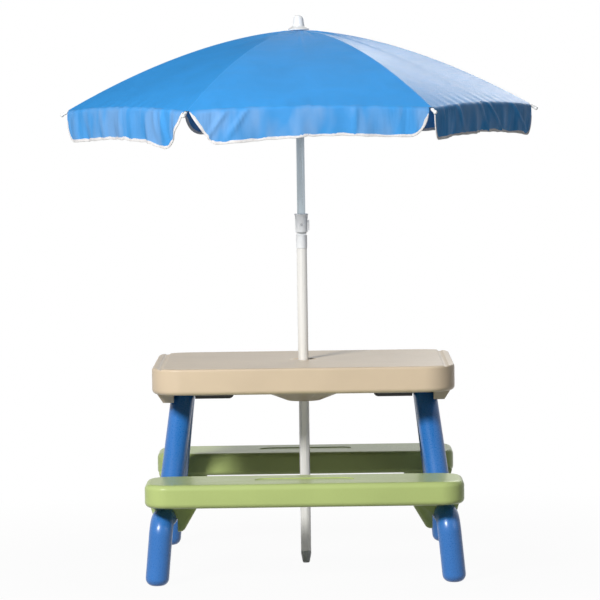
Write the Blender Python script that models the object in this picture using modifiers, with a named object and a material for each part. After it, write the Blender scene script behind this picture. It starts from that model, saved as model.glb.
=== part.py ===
"""Children's play table with two joined benches and a folding sun umbrella. Metres, +Z up, front along -Y."""

import math

import bmesh
import bpy
from mathutils import Matrix, Vector

# Fits and fineness shared by every piece
GAP = 0.0003
RUNNING_GAP = 0.0004
OVERRUN = 0.006
WELD = 0.00001
ROUND_STEPS = 20
FINE_STEPS = 12
SMALL_STEPS = 8
ROUND_PROFILE_SHARE = 0.5
SMOOTH_UNDER_DEG = 35.0

# Table top
TOP_LENGTH = 0.719
TOP_DEPTH = 0.500
TOP_HEIGHT = 0.497
TOP_THICKNESS = 0.0625
TOP_CORNER_RADIUS = 0.075
TOP_EDGE_RADIUS = 0.006
TOP_UNDER_EDGE_RADIUS = 0.011
GROOVE_CENTRE_X = 0.338
GROOVE_WIDTH = 0.014
GROOVE_DEPTH = 0.0035
HOLE_DISH_RADIUS = 0.032
HOLE_DISH_DEPTH = 0.002
BOSS_DROP = 0.0365
BOSS_TIP_RADIUS = 0.0412
BOSS_ROOT_RADIUS = 0.136
SKIRT_DROP = 0.0285
SKIRT_TIP_X = 0.337
SKIRT_HALF_LENGTH = 0.150
SKIRT_TIP_HALF_LENGTH = 0.118
DIMPLE_MOUTH_RADIUS = 0.014
DIMPLE_FLOOR_RADIUS = 0.007
DIMPLE_DEPTH = 0.022
DIMPLE_PITCH_X = 0.066
DIMPLE_PITCH_Y = 0.060
DIMPLE_FIRST_Y = 0.128
DIMPLE_COLUMNS = 8

# Leg hinges under the table top
PIVOT_Y = 0.045
PIVOT_DROP = 0.0165
PIVOT_X = 0.2925
PIN_RADIUS = 0.005
PIN_INNER_X = 0.185
BRACKET_INNER_X = 0.168
BRACKET_SIDE_CLEARANCE = 0.0035
BRACKET_HALF_DEPTH = 0.074
BRACKET_WALL = 0.0025
BRACKET_INNER_ROUND = 0.012
BRACKET_ROUND_STEPS = 4
BRACKET_RECESS_INNER_X = 0.184
BRACKET_RECESS_OUTER_X = 0.250
BRACKET_RECESS_HALF_DEPTH = 0.030
BRACKET_RECESS_ROOF = 0.006
WASHER_RADIUS = 0.009
WASHER_GAP = 0.0016
CHANNEL_HALF_DEPTH = 0.088
CHANNEL_CLEARANCE = 0.0045
SCREW_RADIUS = 0.0025
SCREW_HEAD_RADIUS = 0.005
SCREW_HEAD_HEIGHT = 0.0028

# Legs
LEG_RADIUS = 0.0275
LEG_KNEE_Y = 0.215
LEG_KNEE_X = 0.3256
LEG_TOP_DROP = 0.009
LEG_FOOT_Y = 0.345
LEG_SHOULDER_X = 0.334
LEG_FOOT_X = 0.3465
LEG_BEND_RADIUS = 0.050
LEG_SHOULDER_RADIUS = 0.034
FOOT_EDGE_RADIUS = 0.018
LEG_SIDES_RESOLUTION = 5
LEG_BEND_STEPS = 4
END_ROUND_STEPS = 4
RIB_CAP_STEPS = 10
EYE_ROUND_DEG = 72.0

# Benches
BENCH_LENGTH = 0.743
BENCH_DEPTH = 0.195
BENCH_HEIGHT = 0.243
BENCH_THICKNESS = 0.055
BENCH_CENTRE_Y = 0.325
BENCH_CORNER_RADIUS = 0.055
BENCH_EDGE_RADIUS = 0.013
BENCH_UNDER_EDGE_RADIUS = 0.012
RECESS_LENGTH = 0.232
RECESS_DEPTH_Y = 0.058
RECESS_DEPTH = 0.002
POCKET_INNER_X = 0.238
POCKET_OUTER_X = 0.369
POCKET_TIP_INNER_X = 0.2865
POCKET_TIP_OUTER_X = 0.346
POCKET_NEAR_Y = 0.236
POCKET_FAR_Y = 0.296
POCKET_TIP_NEAR_Y = 0.244
POCKET_TIP_FAR_Y = 0.288
POCKET_TIP_HEIGHT = 0.117
POCKET_SIDE_GAP = 0.002
BENCH_SCREW_Y = 0.266
BENCH_SCREW_LENGTH = 0.072

# Umbrella pole
LOWER_POLE_RADIUS = 0.0125
POLE_WALL = 0.001
PLUG_TIP_RADIUS = 0.0088
PLUG_HEIGHT = 0.029
PLUG_SPIGOT = 0.022
PLUG_TAPER_START_SHARE = 0.75
PLUG_TAPER_END_SHARE = 0.1
PLUG_FACE_SHARE = 0.85
POLE_HOLE_CLEARANCE = 0.0006
JOINT_BASE_HEIGHT = 0.766
JOINT_SPIGOT = 0.030
JOINT_COLLAR_RADIUS = 0.0133
JOINT_COLLAR_LENGTH = 0.0332
TILT_RISE = 0.0248
TILT_PIN_RADIUS = 0.003
TONGUE_HALF_WIDTH = 0.0120
TONGUE_HALF_THICKNESS = 0.0045
FORK_RADIUS = 0.0155
FORK_BELOW = 0.0185
FORK_ABOVE = 0.0225
FORK_SLOT_ABOVE = 0.0134
FORK_FLANGE_RADIUS = 0.0168
FORK_FLANGE_HEIGHT = 0.0035
BUTTON_HALF_WIDTH = 0.0047
BUTTON_BELOW = 0.014
BUTTON_ABOVE = 0.011
BUTTON_PROUD = 0.0032
BUTTON_CORNER_SHARE = 0.333
BUTTON_EDGE_SHARE = 0.167
BUTTON_STEM_START = 0.004
BUTTON_STEM_END = 0.0105
BUTTON_STEM_DEPTH = 0.0027
UPPER_POLE_RADIUS = 0.010
UPPER_POLE_TOP_DROP = 0.0018

# Canopy and its frame
CANOPY_APEX = 1.2930
CANOPY_DROP = 0.1848
CANOPY_RADIUS = 0.558
CANOPY_CURVE_POWER = 1.7
CANOPY_TURN_DEG = 2.8
RIB_COUNT = 6
FABRIC = 0.001
FABRIC_HOLE_RADIUS = 0.0124
SEAM_HALF_GAP = 0.0006
VALANCE_HEIGHT = 0.078
VALANCE_START = 0.0058
VALANCE_ROUND = 0.045
GORE_ROWS = 8
ROW_SPREAD_SHARE = 0.85
GORE_COLUMN_SHARES = (0.0, 0.46, 0.86)
SEAM_COLUMN_SHARE = 0.06
VALANCE_ROWS = 2
RIB_RADIUS = 0.0016
STRETCHER_RADIUS = 0.0012
HUB_PIVOT_RADIUS = 0.020
HUB_PIVOT_DROP = 0.017
HUB_RADIUS = 0.0235
HUB_BOTTOM_DROP = 0.027
HUB_TOP_DROP = 0.0042
RIB_RISE_RADIUS = 0.100
RIVET_RADIAL = 0.1985
EYE_RADIUS = 0.0036
RIVET_RADIUS = 0.0010
EYE_HALF_LENGTH = 0.0018
RUNNER_DROP = 0.118
RUNNER_PIVOT_RADIUS = 0.0185
SLEEVE_RADIUS = 0.0138
SLEEVE_BELOW = 0.026
SLEEVE_ABOVE = 0.018
RUNNER_TOOTH_RADIUS = 0.0225
RUNNER_TOOTH_HALF_HEIGHT = 0.006
CAP_GAP = 0.002
CAP_BODY_RADIUS = 0.0036
CAP_BALL_RADIUS = 0.0048
CAP_BALL_SWEEP_DEG = 130.0
CAP_LENGTH = 0.0195
CAP_BORE_DEPTH = 0.011
FINIAL_FLANGE_RADIUS = 0.0255
FINIAL_FLANGE_HEIGHT = 0.0025
FINIAL_CONE_HEIGHT = 0.0060
FINIAL_KNOB_RADIUS = 0.0145
FINIAL_CROWN_RADIUS = 0.0118
FINIAL_HEIGHT = 0.0355
FINIAL_EDGE_RADIUS = 0.0075
FINIAL_SPIGOT_RADIUS = 0.0085
FINIAL_SPIGOT = 0.016

FINISHES = {
    "tan": ((0.66, 0.56, 0.41), 0.42, 0.0),
    "green": ((0.46, 0.56, 0.21), 0.40, 0.0),
    "blue": ((0.03, 0.19, 0.56), 0.35, 0.0),
    "black": ((0.02, 0.02, 0.02), 0.45, 0.0),
    "white": ((0.80, 0.80, 0.79), 0.35, 0.0),
    "painted_white": ((0.68, 0.69, 0.68), 0.30, 0.2),
    "grey_blue": ((0.28, 0.37, 0.47), 0.30, 0.5),
    "steel": ((0.45, 0.46, 0.48), 0.35, 0.9),
    "fabric": ((0.06, 0.30, 0.75), 0.70, 0.0),
}

TOP_BOTTOM = TOP_HEIGHT - TOP_THICKNESS
PIVOT_HEIGHT = TOP_BOTTOM - PIVOT_DROP
BENCH_BOTTOM = BENCH_HEIGHT - BENCH_THICKNESS
LEG_RUN_HEIGHT = BENCH_BOTTOM - LEG_TOP_DROP - LEG_RADIUS
JOINT_COLLAR_TOP = JOINT_BASE_HEIGHT + JOINT_COLLAR_LENGTH
TILT_HEIGHT = JOINT_COLLAR_TOP + TILT_RISE
FORK_TOP = TILT_HEIGHT + FORK_ABOVE
HUB_PIVOT_HEIGHT = CANOPY_APEX - HUB_PIVOT_DROP
RUNNER_PIVOT_HEIGHT = HUB_PIVOT_HEIGHT - RUNNER_DROP
CAP_START_RADIUS = CANOPY_RADIUS + CAP_GAP
TAU = 2 * math.pi


def clear_scene():
    for obj in list(bpy.data.objects):
        bpy.data.objects.remove(obj, do_unlink=True)


def new_collection(name):
    collection = bpy.data.collections.new(name)
    bpy.context.scene.collection.children.link(collection)
    return collection


clear_scene()
PARTS = new_collection("kids_play_table")
CUTTERS = new_collection("cutters")


def new_finish(name, kind):
    """A material of this object's own, in one of the table's finishes."""
    colour, roughness, metallic = FINISHES[kind]
    finish = bpy.data.materials.new(name + "_finish")
    finish.use_nodes = True
    shader = finish.node_tree.nodes["Principled BSDF"]
    shader.inputs["Base Color"].default_value = (*colour, 1)
    shader.inputs["Roughness"].default_value = roughness
    shader.inputs["Metallic"].default_value = metallic
    finish.diffuse_color = (*colour, 1)
    return finish


def pivot(name, place, turn=0.0, parent=None):
    """An empty at a joint, which the pieces that move with the joint hang from."""
    empty = bpy.data.objects.new(name, None)
    PARTS.objects.link(empty)
    world = Matrix.Translation(place) @ Matrix.Rotation(turn, 4, "Z")
    empty.parent = parent
    empty.matrix_world = world
    empty["frame"] = [value for row in world for value in row]
    return empty


def frame_of(empty):
    values = list(empty["frame"])
    return Matrix([values[4 * row : 4 * row + 4] for row in range(4)])


def show(obj, kind, carrier=None):
    """Puts a finished piece in the model, with its own material, and hangs it from its pivot."""
    PARTS.objects.link(obj)
    obj.data.materials.clear()
    obj.data.materials.append(new_finish(obj.name, kind))
    if obj.type == "MESH":
        obj.data.shade_smooth()
        obj.data.set_sharp_from_angle(angle=math.radians(SMOOTH_UNDER_DEG))
    if carrier is not None:
        obj.parent = carrier
    return obj


def carried(obj, kind, carrier):
    """Hangs a piece drawn in world coordinates from its pivot, with its origin on the joint."""
    world = frame_of(carrier)
    obj.data.transform(world.inverted())
    show(obj, kind, carrier)
    return obj


def object_from(name, form):
    mesh = bpy.data.meshes.new(name)
    bmesh.ops.recalc_face_normals(form, faces=form.faces)
    form.to_mesh(mesh)
    form.free()
    return bpy.data.objects.new(name, mesh)


def block(name, low, high, top_low=None, top_high=None):
    """A block between two corners. With a second pair, its upper face spans that pair instead."""
    form = bmesh.new()
    bmesh.ops.create_cube(form, size=1)
    top_low = top_low or low
    top_high = top_high or high
    for vert in form.verts:
        above = vert.co.z > 0
        x_ends = (top_low[0], top_high[0]) if above else (low[0], high[0])
        y_ends = (top_low[1], top_high[1]) if above else (low[1], high[1])
        vert.co = (x_ends[vert.co.x > 0], y_ends[vert.co.y > 0], high[2] if above else low[2])
    return object_from(name, form)


def rod(name, centre, axis, radius, length, far_radius=None, steps=FINE_STEPS):
    """A round bar along X, Y or Z, or a cone with a second radius at its far end."""
    form = bmesh.new()
    far_radius = radius if far_radius is None else far_radius
    bmesh.ops.create_cone(
        form, cap_ends=True, segments=steps, radius1=radius, radius2=far_radius, depth=length
    )
    turns = {"X": ("Y", math.pi / 2), "Y": ("X", -math.pi / 2), "Z": ("Z", 0)}
    about, angle = turns[axis]
    bmesh.ops.transform(form, matrix=Matrix.Rotation(angle, 4, about), verts=form.verts)
    bmesh.ops.translate(form, vec=centre, verts=form.verts)
    return object_from(name, form)


def eased(form, edges, radius, steps):
    """Rounds the given edges of a form."""
    bmesh.ops.bevel(
        form, geom=edges, offset=radius, segments=steps, affect="EDGES", profile=ROUND_PROFILE_SHARE
    )


def rounded_slab(name, centre, size, corner, top_edge=0, under_edge=0, corner_steps=6, edge_steps=3):
    """A slab with round corners in plan and rolled edges above and below."""
    form = bmesh.new()
    bmesh.ops.create_cube(form, size=1)
    for vert in form.verts:
        vert.co = Vector(centre) + Vector(share * length for share, length in zip(vert.co, size))
    upright = [e for e in form.edges if abs(e.verts[0].co.z - e.verts[1].co.z) > WELD]
    eased(form, upright, corner, corner_steps)
    for edge, height in ((top_edge, centre[2] + size[2] / 2), (under_edge, centre[2] - size[2] / 2)):
        if edge:
            rim = [e for e in form.edges if all(abs(v.co.z - height) < WELD for v in e.verts)]
            eased(form, rim, edge, edge_steps)
    return object_from(name, form)


def turned(name, outline, steps=ROUND_STEPS, hollow=False):
    """A turned piece. The outline's (radius, height) points run down its outer side."""
    form = bmesh.new()
    verts = [form.verts.new((radius, 0, height)) for radius, height in outline]
    for first, second in zip(verts, verts[1:]):
        form.edges.new((first, second))
    if hollow:
        form.edges.new((verts[-1], verts[0]))
    mesh = bpy.data.meshes.new(name)
    form.to_mesh(mesh)
    form.free()
    obj = bpy.data.objects.new(name, mesh)
    screw = obj.modifiers.new("turn", "SCREW")
    screw.angle = TAU
    screw.steps = steps
    screw.render_steps = steps
    screw.use_merge_vertices = True
    screw.merge_threshold = WELD
    screw.use_smooth_shade = True
    return obj


def tube(name, points, radius, radii=None, resolution=2):
    """A round tube along points, as a curve, with a radius at each point if need be."""
    curve = bpy.data.curves.new(name, "CURVE")
    curve.dimensions = "3D"
    curve.twist_mode = "MINIMUM"
    curve.bevel_depth = radius
    curve.bevel_resolution = resolution
    curve.use_fill_caps = True
    spline = curve.splines.new("POLY")
    spline.points.add(len(points) - 1)
    for index, (point, place) in enumerate(zip(spline.points, points)):
        point.co = (*place, 1)
        point.radius = radii[index] / radius if radii else 1
    return bpy.data.objects.new(name, curve)


def as_mesh(source):
    """The evaluated form of an object as a plain mesh object, with a curve's loose caps welded."""
    name = source.name
    if not source.users_collection:
        CUTTERS.objects.link(source)
    bpy.context.view_layer.update()
    graph = bpy.context.evaluated_depsgraph_get()
    mesh = bpy.data.meshes.new_from_object(source.evaluated_get(graph), depsgraph=graph)
    form = bmesh.new()
    form.from_mesh(mesh)
    bmesh.ops.remove_doubles(form, verts=form.verts, dist=WELD)
    bmesh.ops.recalc_face_normals(form, faces=form.faces)
    form.to_mesh(mesh)
    form.free()
    place = source.matrix_world.copy()
    bpy.data.objects.remove(source)
    mesh.name = name
    result = bpy.data.objects.new(name, mesh)
    result.matrix_world = place
    return result


def tool(obj):
    """Keeps a cutter or a shape to be joined out of the model."""
    CUTTERS.objects.link(obj)
    obj.hide_render = True
    obj.display_type = "WIRE"
    return obj


def shaped(obj, steps):
    """Joins and cuts an object with other shapes, in order, and returns it as one mesh."""
    for index, (operation, other) in enumerate(steps):
        change = obj.modifiers.new(f"{operation.lower()}_{index}", "BOOLEAN")
        change.operation = operation
        change.solver = "EXACT"
        change.object = tool(other) if not other.users_collection else other
    return as_mesh(obj)


def rounded_path(corners, radii, steps):
    """Points along straight runs whose corners are arcs of the given radii."""
    points = [Vector(corners[0])]
    for before, corner, after, radius in zip(corners, corners[1:], corners[2:], radii):
        corner = Vector(corner)
        back = (Vector(before) - corner).normalized()
        on = (Vector(after) - corner).normalized()
        half = back.angle(on) / 2
        centre = corner + (back + on).normalized() * (radius / math.sin(half))
        start = corner + back * (radius / math.tan(half)) - centre
        end = corner + on * (radius / math.tan(half)) - centre
        for step in range(steps + 1):
            points.append(centre + start.slerp(end, step / steps).normalized() * radius)
    points.append(Vector(corners[-1]))
    return points


def mirrored(obj, name, x=1, y=1):
    """A copy of a mesh object on the other side of the table, with its faces turned out again."""
    mesh = obj.data.copy()
    mesh.name = name
    mesh.transform(Matrix.Diagonal((x, y, 1, 1)))
    if x * y < 0:
        mesh.flip_normals()
    return bpy.data.objects.new(name, mesh)


# Table top
def leg_channel(side):
    inner = PIVOT_X - LEG_RADIUS - BRACKET_SIDE_CLEARANCE
    outer = PIVOT_X + LEG_RADIUS + BRACKET_SIDE_CLEARANCE
    ends = sorted((side * inner, side * outer))
    return block(
        "leg_channel",
        (ends[0], -CHANNEL_HALF_DEPTH, TOP_BOTTOM - SKIRT_DROP - OVERRUN),
        (ends[1], CHANNEL_HALF_DEPTH, PIVOT_HEIGHT + LEG_RADIUS + CHANNEL_CLEARANCE),
    )


def side_skirt(side):
    inner = PIVOT_X + LEG_RADIUS + BRACKET_SIDE_CLEARANCE
    outer = TOP_LENGTH / 2 - GAP
    low = sorted((side * inner, side * SKIRT_TIP_X))
    high = sorted((side * inner, side * outer))
    return block(
        "side_skirt",
        (low[0], -SKIRT_TIP_HALF_LENGTH, TOP_BOTTOM - SKIRT_DROP),
        (low[1], SKIRT_TIP_HALF_LENGTH, TOP_BOTTOM + TOP_UNDER_EDGE_RADIUS),
        (high[0], -SKIRT_HALF_LENGTH),
        (high[1], SKIRT_HALF_LENGTH),
    )


def top_groove(side):
    half = GROOVE_WIDTH / 2
    return block(
        "top_groove",
        (side * GROOVE_CENTRE_X - half, -TOP_DEPTH / 2 - OVERRUN, TOP_HEIGHT - GROOVE_DEPTH),
        (side * GROOVE_CENTRE_X + half, TOP_DEPTH / 2 + OVERRUN, TOP_HEIGHT + OVERRUN),
    )


def dimple(x, y):
    """A cone pressed up from below, where a blow-moulded top joins its two walls."""
    height = DIMPLE_DEPTH + OVERRUN
    spread = (DIMPLE_MOUTH_RADIUS - DIMPLE_FLOOR_RADIUS) / DIMPLE_DEPTH
    mouth = DIMPLE_MOUTH_RADIUS + spread * OVERRUN
    centre = (x, y, TOP_BOTTOM - OVERRUN + height / 2)
    return rod("dimple", centre, "Z", mouth, height, DIMPLE_FLOOR_RADIUS, SMALL_STEPS)


def make_table_top(root):
    top = rounded_slab(
        "table_top",
        (0, 0, TOP_HEIGHT - TOP_THICKNESS / 2),
        (TOP_LENGTH, TOP_DEPTH, TOP_THICKNESS),
        TOP_CORNER_RADIUS,
        TOP_EDGE_RADIUS,
        TOP_UNDER_EDGE_RADIUS,
    )
    boss_length = BOSS_DROP + OVERRUN
    boss_root = BOSS_ROOT_RADIUS + (BOSS_ROOT_RADIUS - BOSS_TIP_RADIUS) * OVERRUN / BOSS_DROP
    boss = rod(
        "pole_boss",
        (0, 0, TOP_BOTTOM - BOSS_DROP + boss_length / 2),
        "Z",
        BOSS_TIP_RADIUS,
        boss_length,
        boss_root,
        ROUND_STEPS,
    )
    hole_length = TOP_THICKNESS + BOSS_DROP + 2 * OVERRUN
    hole_centre = (0, 0, TOP_HEIGHT + OVERRUN - hole_length / 2)
    hole_radius = LOWER_POLE_RADIUS + POLE_HOLE_CLEARANCE
    steps = [("UNION", side_skirt(side)) for side in (-1, 1)]
    steps.append(("UNION", boss))
    steps += [("DIFFERENCE", leg_channel(side)) for side in (-1, 1)]
    steps += [("DIFFERENCE", top_groove(side)) for side in (-1, 1)]
    dish = (0, 0, TOP_HEIGHT - HOLE_DISH_DEPTH + OVERRUN / 2)
    steps.append(("DIFFERENCE", rod("hole_dish", dish, "Z", HOLE_DISH_RADIUS, OVERRUN, steps=ROUND_STEPS)))
    steps.append(
        ("DIFFERENCE", rod("pole_hole", hole_centre, "Z", hole_radius, hole_length, steps=ROUND_STEPS))
    )
    for side in (-1, 1):
        for row in (0, 1):
            for column in range(DIMPLE_COLUMNS):
                x = (column - (DIMPLE_COLUMNS - 1) / 2) * DIMPLE_PITCH_X
                y = side * (DIMPLE_FIRST_Y + row * DIMPLE_PITCH_Y)
                steps.append(("DIFFERENCE", dimple(x, y)))
    show(shaped(top, steps), "tan", root)


def screw_hole(x, y, low, high):
    centre = (x, y, (low + high) / 2)
    return rod("screw_hole", centre, "Z", SCREW_RADIUS + GAP, high - low, steps=SMALL_STEPS)


# Leg hinges
def make_bracket(side, name, root):
    """A solid hinge block with a round inner end, bored for two pins and open below for its screws."""
    inner = BRACKET_INNER_X
    outer = PIVOT_X - LEG_RADIUS - BRACKET_SIDE_CLEARANCE
    ends = sorted((side * inner, side * outer))
    top = TOP_BOTTOM - GAP
    low = PIVOT_HEIGHT - PIN_RADIUS - BRACKET_WALL
    form = bmesh.new()
    bmesh.ops.create_cube(form, size=1)
    for vert in form.verts:
        x, y, z = vert.co
        vert.co = (ends[x > 0], math.copysign(BRACKET_HALF_DEPTH, y), top if z > 0 else low)
    inner_low = [
        edge
        for edge in form.edges
        if all(abs(v.co.x - side * inner) < WELD and abs(v.co.z - low) < WELD for v in edge.verts)
    ]
    eased(form, inner_low, BRACKET_INNER_ROUND, BRACKET_ROUND_STEPS)
    sides = sorted((side * BRACKET_RECESS_INNER_X, side * BRACKET_RECESS_OUTER_X))
    recess = block(
        "screw_recess",
        (sides[0], -BRACKET_RECESS_HALF_DEPTH, low - OVERRUN),
        (sides[1], BRACKET_RECESS_HALF_DEPTH, top - BRACKET_RECESS_ROOF),
    )
    steps = [("DIFFERENCE", recess)]
    for row in (-1, 1):
        reach = PIVOT_X + LEG_RADIUS - PIN_INNER_X + OVERRUN
        centre = (side * (PIN_INNER_X + reach / 2), row * PIVOT_Y, PIVOT_HEIGHT)
        steps.append(("DIFFERENCE", rod("pin_bore", centre, "X", PIN_RADIUS + GAP, reach)))
    show(shaped(object_from(name, form), steps), "black", root)


def make_hinge_pins(root):
    outer = PIVOT_X + LEG_RADIUS + WASHER_GAP
    washer = BRACKET_SIDE_CLEARANCE - WASHER_GAP - GAP
    for hand, side in (("left", -1), ("right", 1)):
        for name, row in (("front", -1), ("rear", 1)):
            y = row * PIVOT_Y
            inner = PIN_INNER_X + 2 * GAP
            end = outer + washer / 2
            centre = (side * (inner + end) / 2, y, PIVOT_HEIGHT)
            shank = rod(f"{name}_{hand}_hinge_pin", centre, "X", PIN_RADIUS, end - inner)
            head_centre = (side * (outer + washer / 2), y, PIVOT_HEIGHT)
            head = rod("pin_head", head_centre, "X", WASHER_RADIUS, washer)
            show(shaped(shank, [("UNION", head)]), "steel", root)


def screw(name, x, y, seat, length):
    """A screw that goes up from its seat, with its domed head below."""
    outline = [
        (0, seat + length),
        (SCREW_RADIUS, seat + length - SCREW_RADIUS),
        (SCREW_RADIUS, seat),
        (SCREW_HEAD_RADIUS, seat - GAP),
        (SCREW_HEAD_RADIUS, seat - SCREW_HEAD_HEIGHT / 2),
        (SCREW_RADIUS, seat - SCREW_HEAD_HEIGHT),
        (0, seat - SCREW_HEAD_HEIGHT),
    ]
    obj = as_mesh(turned(name, outline, SMALL_STEPS))
    obj.data.transform(Matrix.Translation((x, y, 0)))
    return obj


# Legs and benches
def leg_route():
    """The front right leg's centre line and its radius at each point, from the rounded eye to the floor."""
    eye = Vector((PIVOT_X, -PIVOT_Y, PIVOT_HEIGHT))
    knee = Vector((LEG_KNEE_X, -LEG_KNEE_Y, LEG_RUN_HEIGHT))
    shoulder = Vector((LEG_SHOULDER_X, -LEG_FOOT_Y, LEG_RUN_HEIGHT))
    foot = Vector((LEG_FOOT_X, -LEG_FOOT_Y, FOOT_EDGE_RADIUS))
    radii = (LEG_BEND_RADIUS, LEG_SHOULDER_RADIUS)
    points = rounded_path((eye, knee, shoulder, foot), radii, LEG_BEND_STEPS)
    sizes = [LEG_RADIUS] * len(points)
    back = (eye - knee).normalized()
    for step in range(1, END_ROUND_STEPS + 1):
        angle = math.radians(EYE_ROUND_DEG) * step / END_ROUND_STEPS
        points.insert(0, eye + back * (LEG_RADIUS * math.sin(angle)))
        sizes.insert(0, LEG_RADIUS * math.cos(angle))
    for step in range(1, END_ROUND_STEPS + 1):
        angle = math.pi / 2 * step / END_ROUND_STEPS
        points.append(Vector((LEG_FOOT_X, -LEG_FOOT_Y, FOOT_EDGE_RADIUS * (1 - math.sin(angle)))))
        sizes.append(LEG_RADIUS - FOOT_EDGE_RADIUS * (1 - math.cos(angle)))
    return points, sizes


def leg_form(name, extra=0.0):
    points, sizes = leg_route()
    sizes = [size + extra for size in sizes]
    return as_mesh(tube(name, points, LEG_RADIUS, sizes, LEG_SIDES_RESOLUTION))


def bench_screw_x():
    """The leg's centre in X where a screw goes up through its run under the bench."""
    share = (BENCH_SCREW_Y - LEG_KNEE_Y) / (LEG_FOOT_Y - LEG_KNEE_Y)
    return LEG_KNEE_X + share * (LEG_SHOULDER_X - LEG_KNEE_X)


def bench_screw_seat():
    return LEG_RUN_HEIGHT - LEG_RADIUS + SCREW_HEAD_HEIGHT + GAP


def make_leg_mesh():
    leg = leg_form("leg")
    bore_length = 2 * (LEG_RADIUS + OVERRUN)
    bore = rod("leg_bore", (PIVOT_X, -PIVOT_Y, PIVOT_HEIGHT), "X", PIN_RADIUS + GAP, bore_length)
    steps = [("DIFFERENCE", bore)]
    x = bench_screw_x()
    y = -BENCH_SCREW_Y
    seat = bench_screw_seat() + GAP
    low = LEG_RUN_HEIGHT - LEG_RADIUS - OVERRUN
    sink_centre = (x, y, (low + seat) / 2)
    steps.append(("DIFFERENCE", screw_hole(x, y, seat - OVERRUN, BENCH_BOTTOM + OVERRUN)))
    steps.append(("DIFFERENCE", rod("screw_sink", sink_centre, "Z", SCREW_HEAD_RADIUS + GAP, seat - low)))
    return shaped(leg, steps)


def bench_pocket(side):
    """The saddle under the bench that a leg's run lies in, narrower towards its foot."""
    low = sorted((side * POCKET_TIP_INNER_X, side * POCKET_TIP_OUTER_X))
    high = sorted((side * POCKET_INNER_X, side * POCKET_OUTER_X))
    return block(
        "bench_pocket",
        (low[0], -POCKET_TIP_FAR_Y, POCKET_TIP_HEIGHT),
        (low[1], -POCKET_TIP_NEAR_Y, BENCH_BOTTOM + BENCH_UNDER_EDGE_RADIUS),
        (high[0], -POCKET_FAR_Y),
        (high[1], -POCKET_NEAR_Y),
    )


def pocket_side(side):
    """What is cut from the saddle beside and below the leg, so that the leg goes in from below."""
    inner = bench_screw_x() - LEG_RADIUS - POCKET_SIDE_GAP
    ends = sorted((side * inner, side * (POCKET_OUTER_X + OVERRUN)))
    return block(
        "pocket_side",
        (ends[0], -POCKET_FAR_Y - OVERRUN, POCKET_TIP_HEIGHT - OVERRUN),
        (ends[1], -POCKET_NEAR_Y + OVERRUN, LEG_RUN_HEIGHT),
    )


def make_bench_mesh():
    centre = (0, -BENCH_CENTRE_Y, BENCH_HEIGHT - BENCH_THICKNESS / 2)
    size = (BENCH_LENGTH, BENCH_DEPTH, BENCH_THICKNESS)
    bench = rounded_slab(
        "bench", centre, size, BENCH_CORNER_RADIUS, BENCH_EDGE_RADIUS, BENCH_UNDER_EDGE_RADIUS
    )
    recess_size = (RECESS_LENGTH, RECESS_DEPTH_Y, OVERRUN)
    recess_centre = (0, -BENCH_CENTRE_Y, BENCH_HEIGHT - RECESS_DEPTH + OVERRUN / 2)
    recess = rounded_slab("seat_recess", recess_centre, recess_size, RECESS_DEPTH_Y / 2 - GAP)
    steps = [("UNION", bench_pocket(side)) for side in (-1, 1)]
    steps += [("DIFFERENCE", pocket_side(side)) for side in (-1, 1)]
    steps.append(("DIFFERENCE", recess))
    channel = leg_form("leg_channel_right", GAP)
    left_channel = mirrored(channel, "leg_channel_left", x=-1)
    steps += [("DIFFERENCE", channel), ("DIFFERENCE", left_channel)]
    high = bench_screw_seat() + BENCH_SCREW_LENGTH + GAP
    for side in (-1, 1):
        hole = screw_hole(side * bench_screw_x(), -BENCH_SCREW_Y, LEG_RUN_HEIGHT, high)
        steps.append(("DIFFERENCE", hole))
    return shaped(bench, steps)


def make_bench_units(root):
    leg = make_leg_mesh()
    bench = make_bench_mesh()
    for name, row in (("front", 1), ("rear", -1)):
        unit = pivot(f"{name}_bench_hinge", (0, -row * PIVOT_Y, PIVOT_HEIGHT), parent=root)
        for hand, side in (("right", 1), ("left", -1)):
            carried(mirrored(leg, f"{name}_{hand}_leg", side, row), "blue", unit)
            x = side * bench_screw_x()
            y = -row * BENCH_SCREW_Y
            bolt = screw(f"{name}_{hand}_bench_screw", x, y, bench_screw_seat(), BENCH_SCREW_LENGTH)
            carried(bolt, "steel", unit)
        carried(mirrored(bench, f"{name}_bench", 1, row), "green", unit)
    for obj in (leg, bench):
        bpy.data.objects.remove(obj)


# Umbrella pole and its tilt joint
def make_lower_pole(root):
    lift = pivot("umbrella_lift", (0, 0, 0), parent=root)
    inner = LOWER_POLE_RADIUS - POLE_WALL
    low = PLUG_HEIGHT + GAP
    tube_outline = [
        (LOWER_POLE_RADIUS, JOINT_BASE_HEIGHT),
        (LOWER_POLE_RADIUS, low),
        (inner, low),
        (inner, JOINT_BASE_HEIGHT),
    ]
    carried(as_mesh(turned("lower_pole", tube_outline, hollow=True)), "painted_white", lift)
    spigot = inner - GAP
    plug_outline = [
        (0, PLUG_HEIGHT + PLUG_SPIGOT),
        (spigot, PLUG_HEIGHT + PLUG_SPIGOT),
        (spigot, PLUG_HEIGHT),
        (LOWER_POLE_RADIUS, PLUG_HEIGHT),
        (LOWER_POLE_RADIUS, PLUG_HEIGHT * PLUG_TAPER_START_SHARE),
        (PLUG_TIP_RADIUS, PLUG_HEIGHT * PLUG_TAPER_END_SHARE),
        (PLUG_TIP_RADIUS * PLUG_FACE_SHARE, 0),
        (0, 0),
    ]
    carried(as_mesh(turned("pole_end_plug", plug_outline)), "white", lift)
    return lift


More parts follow.
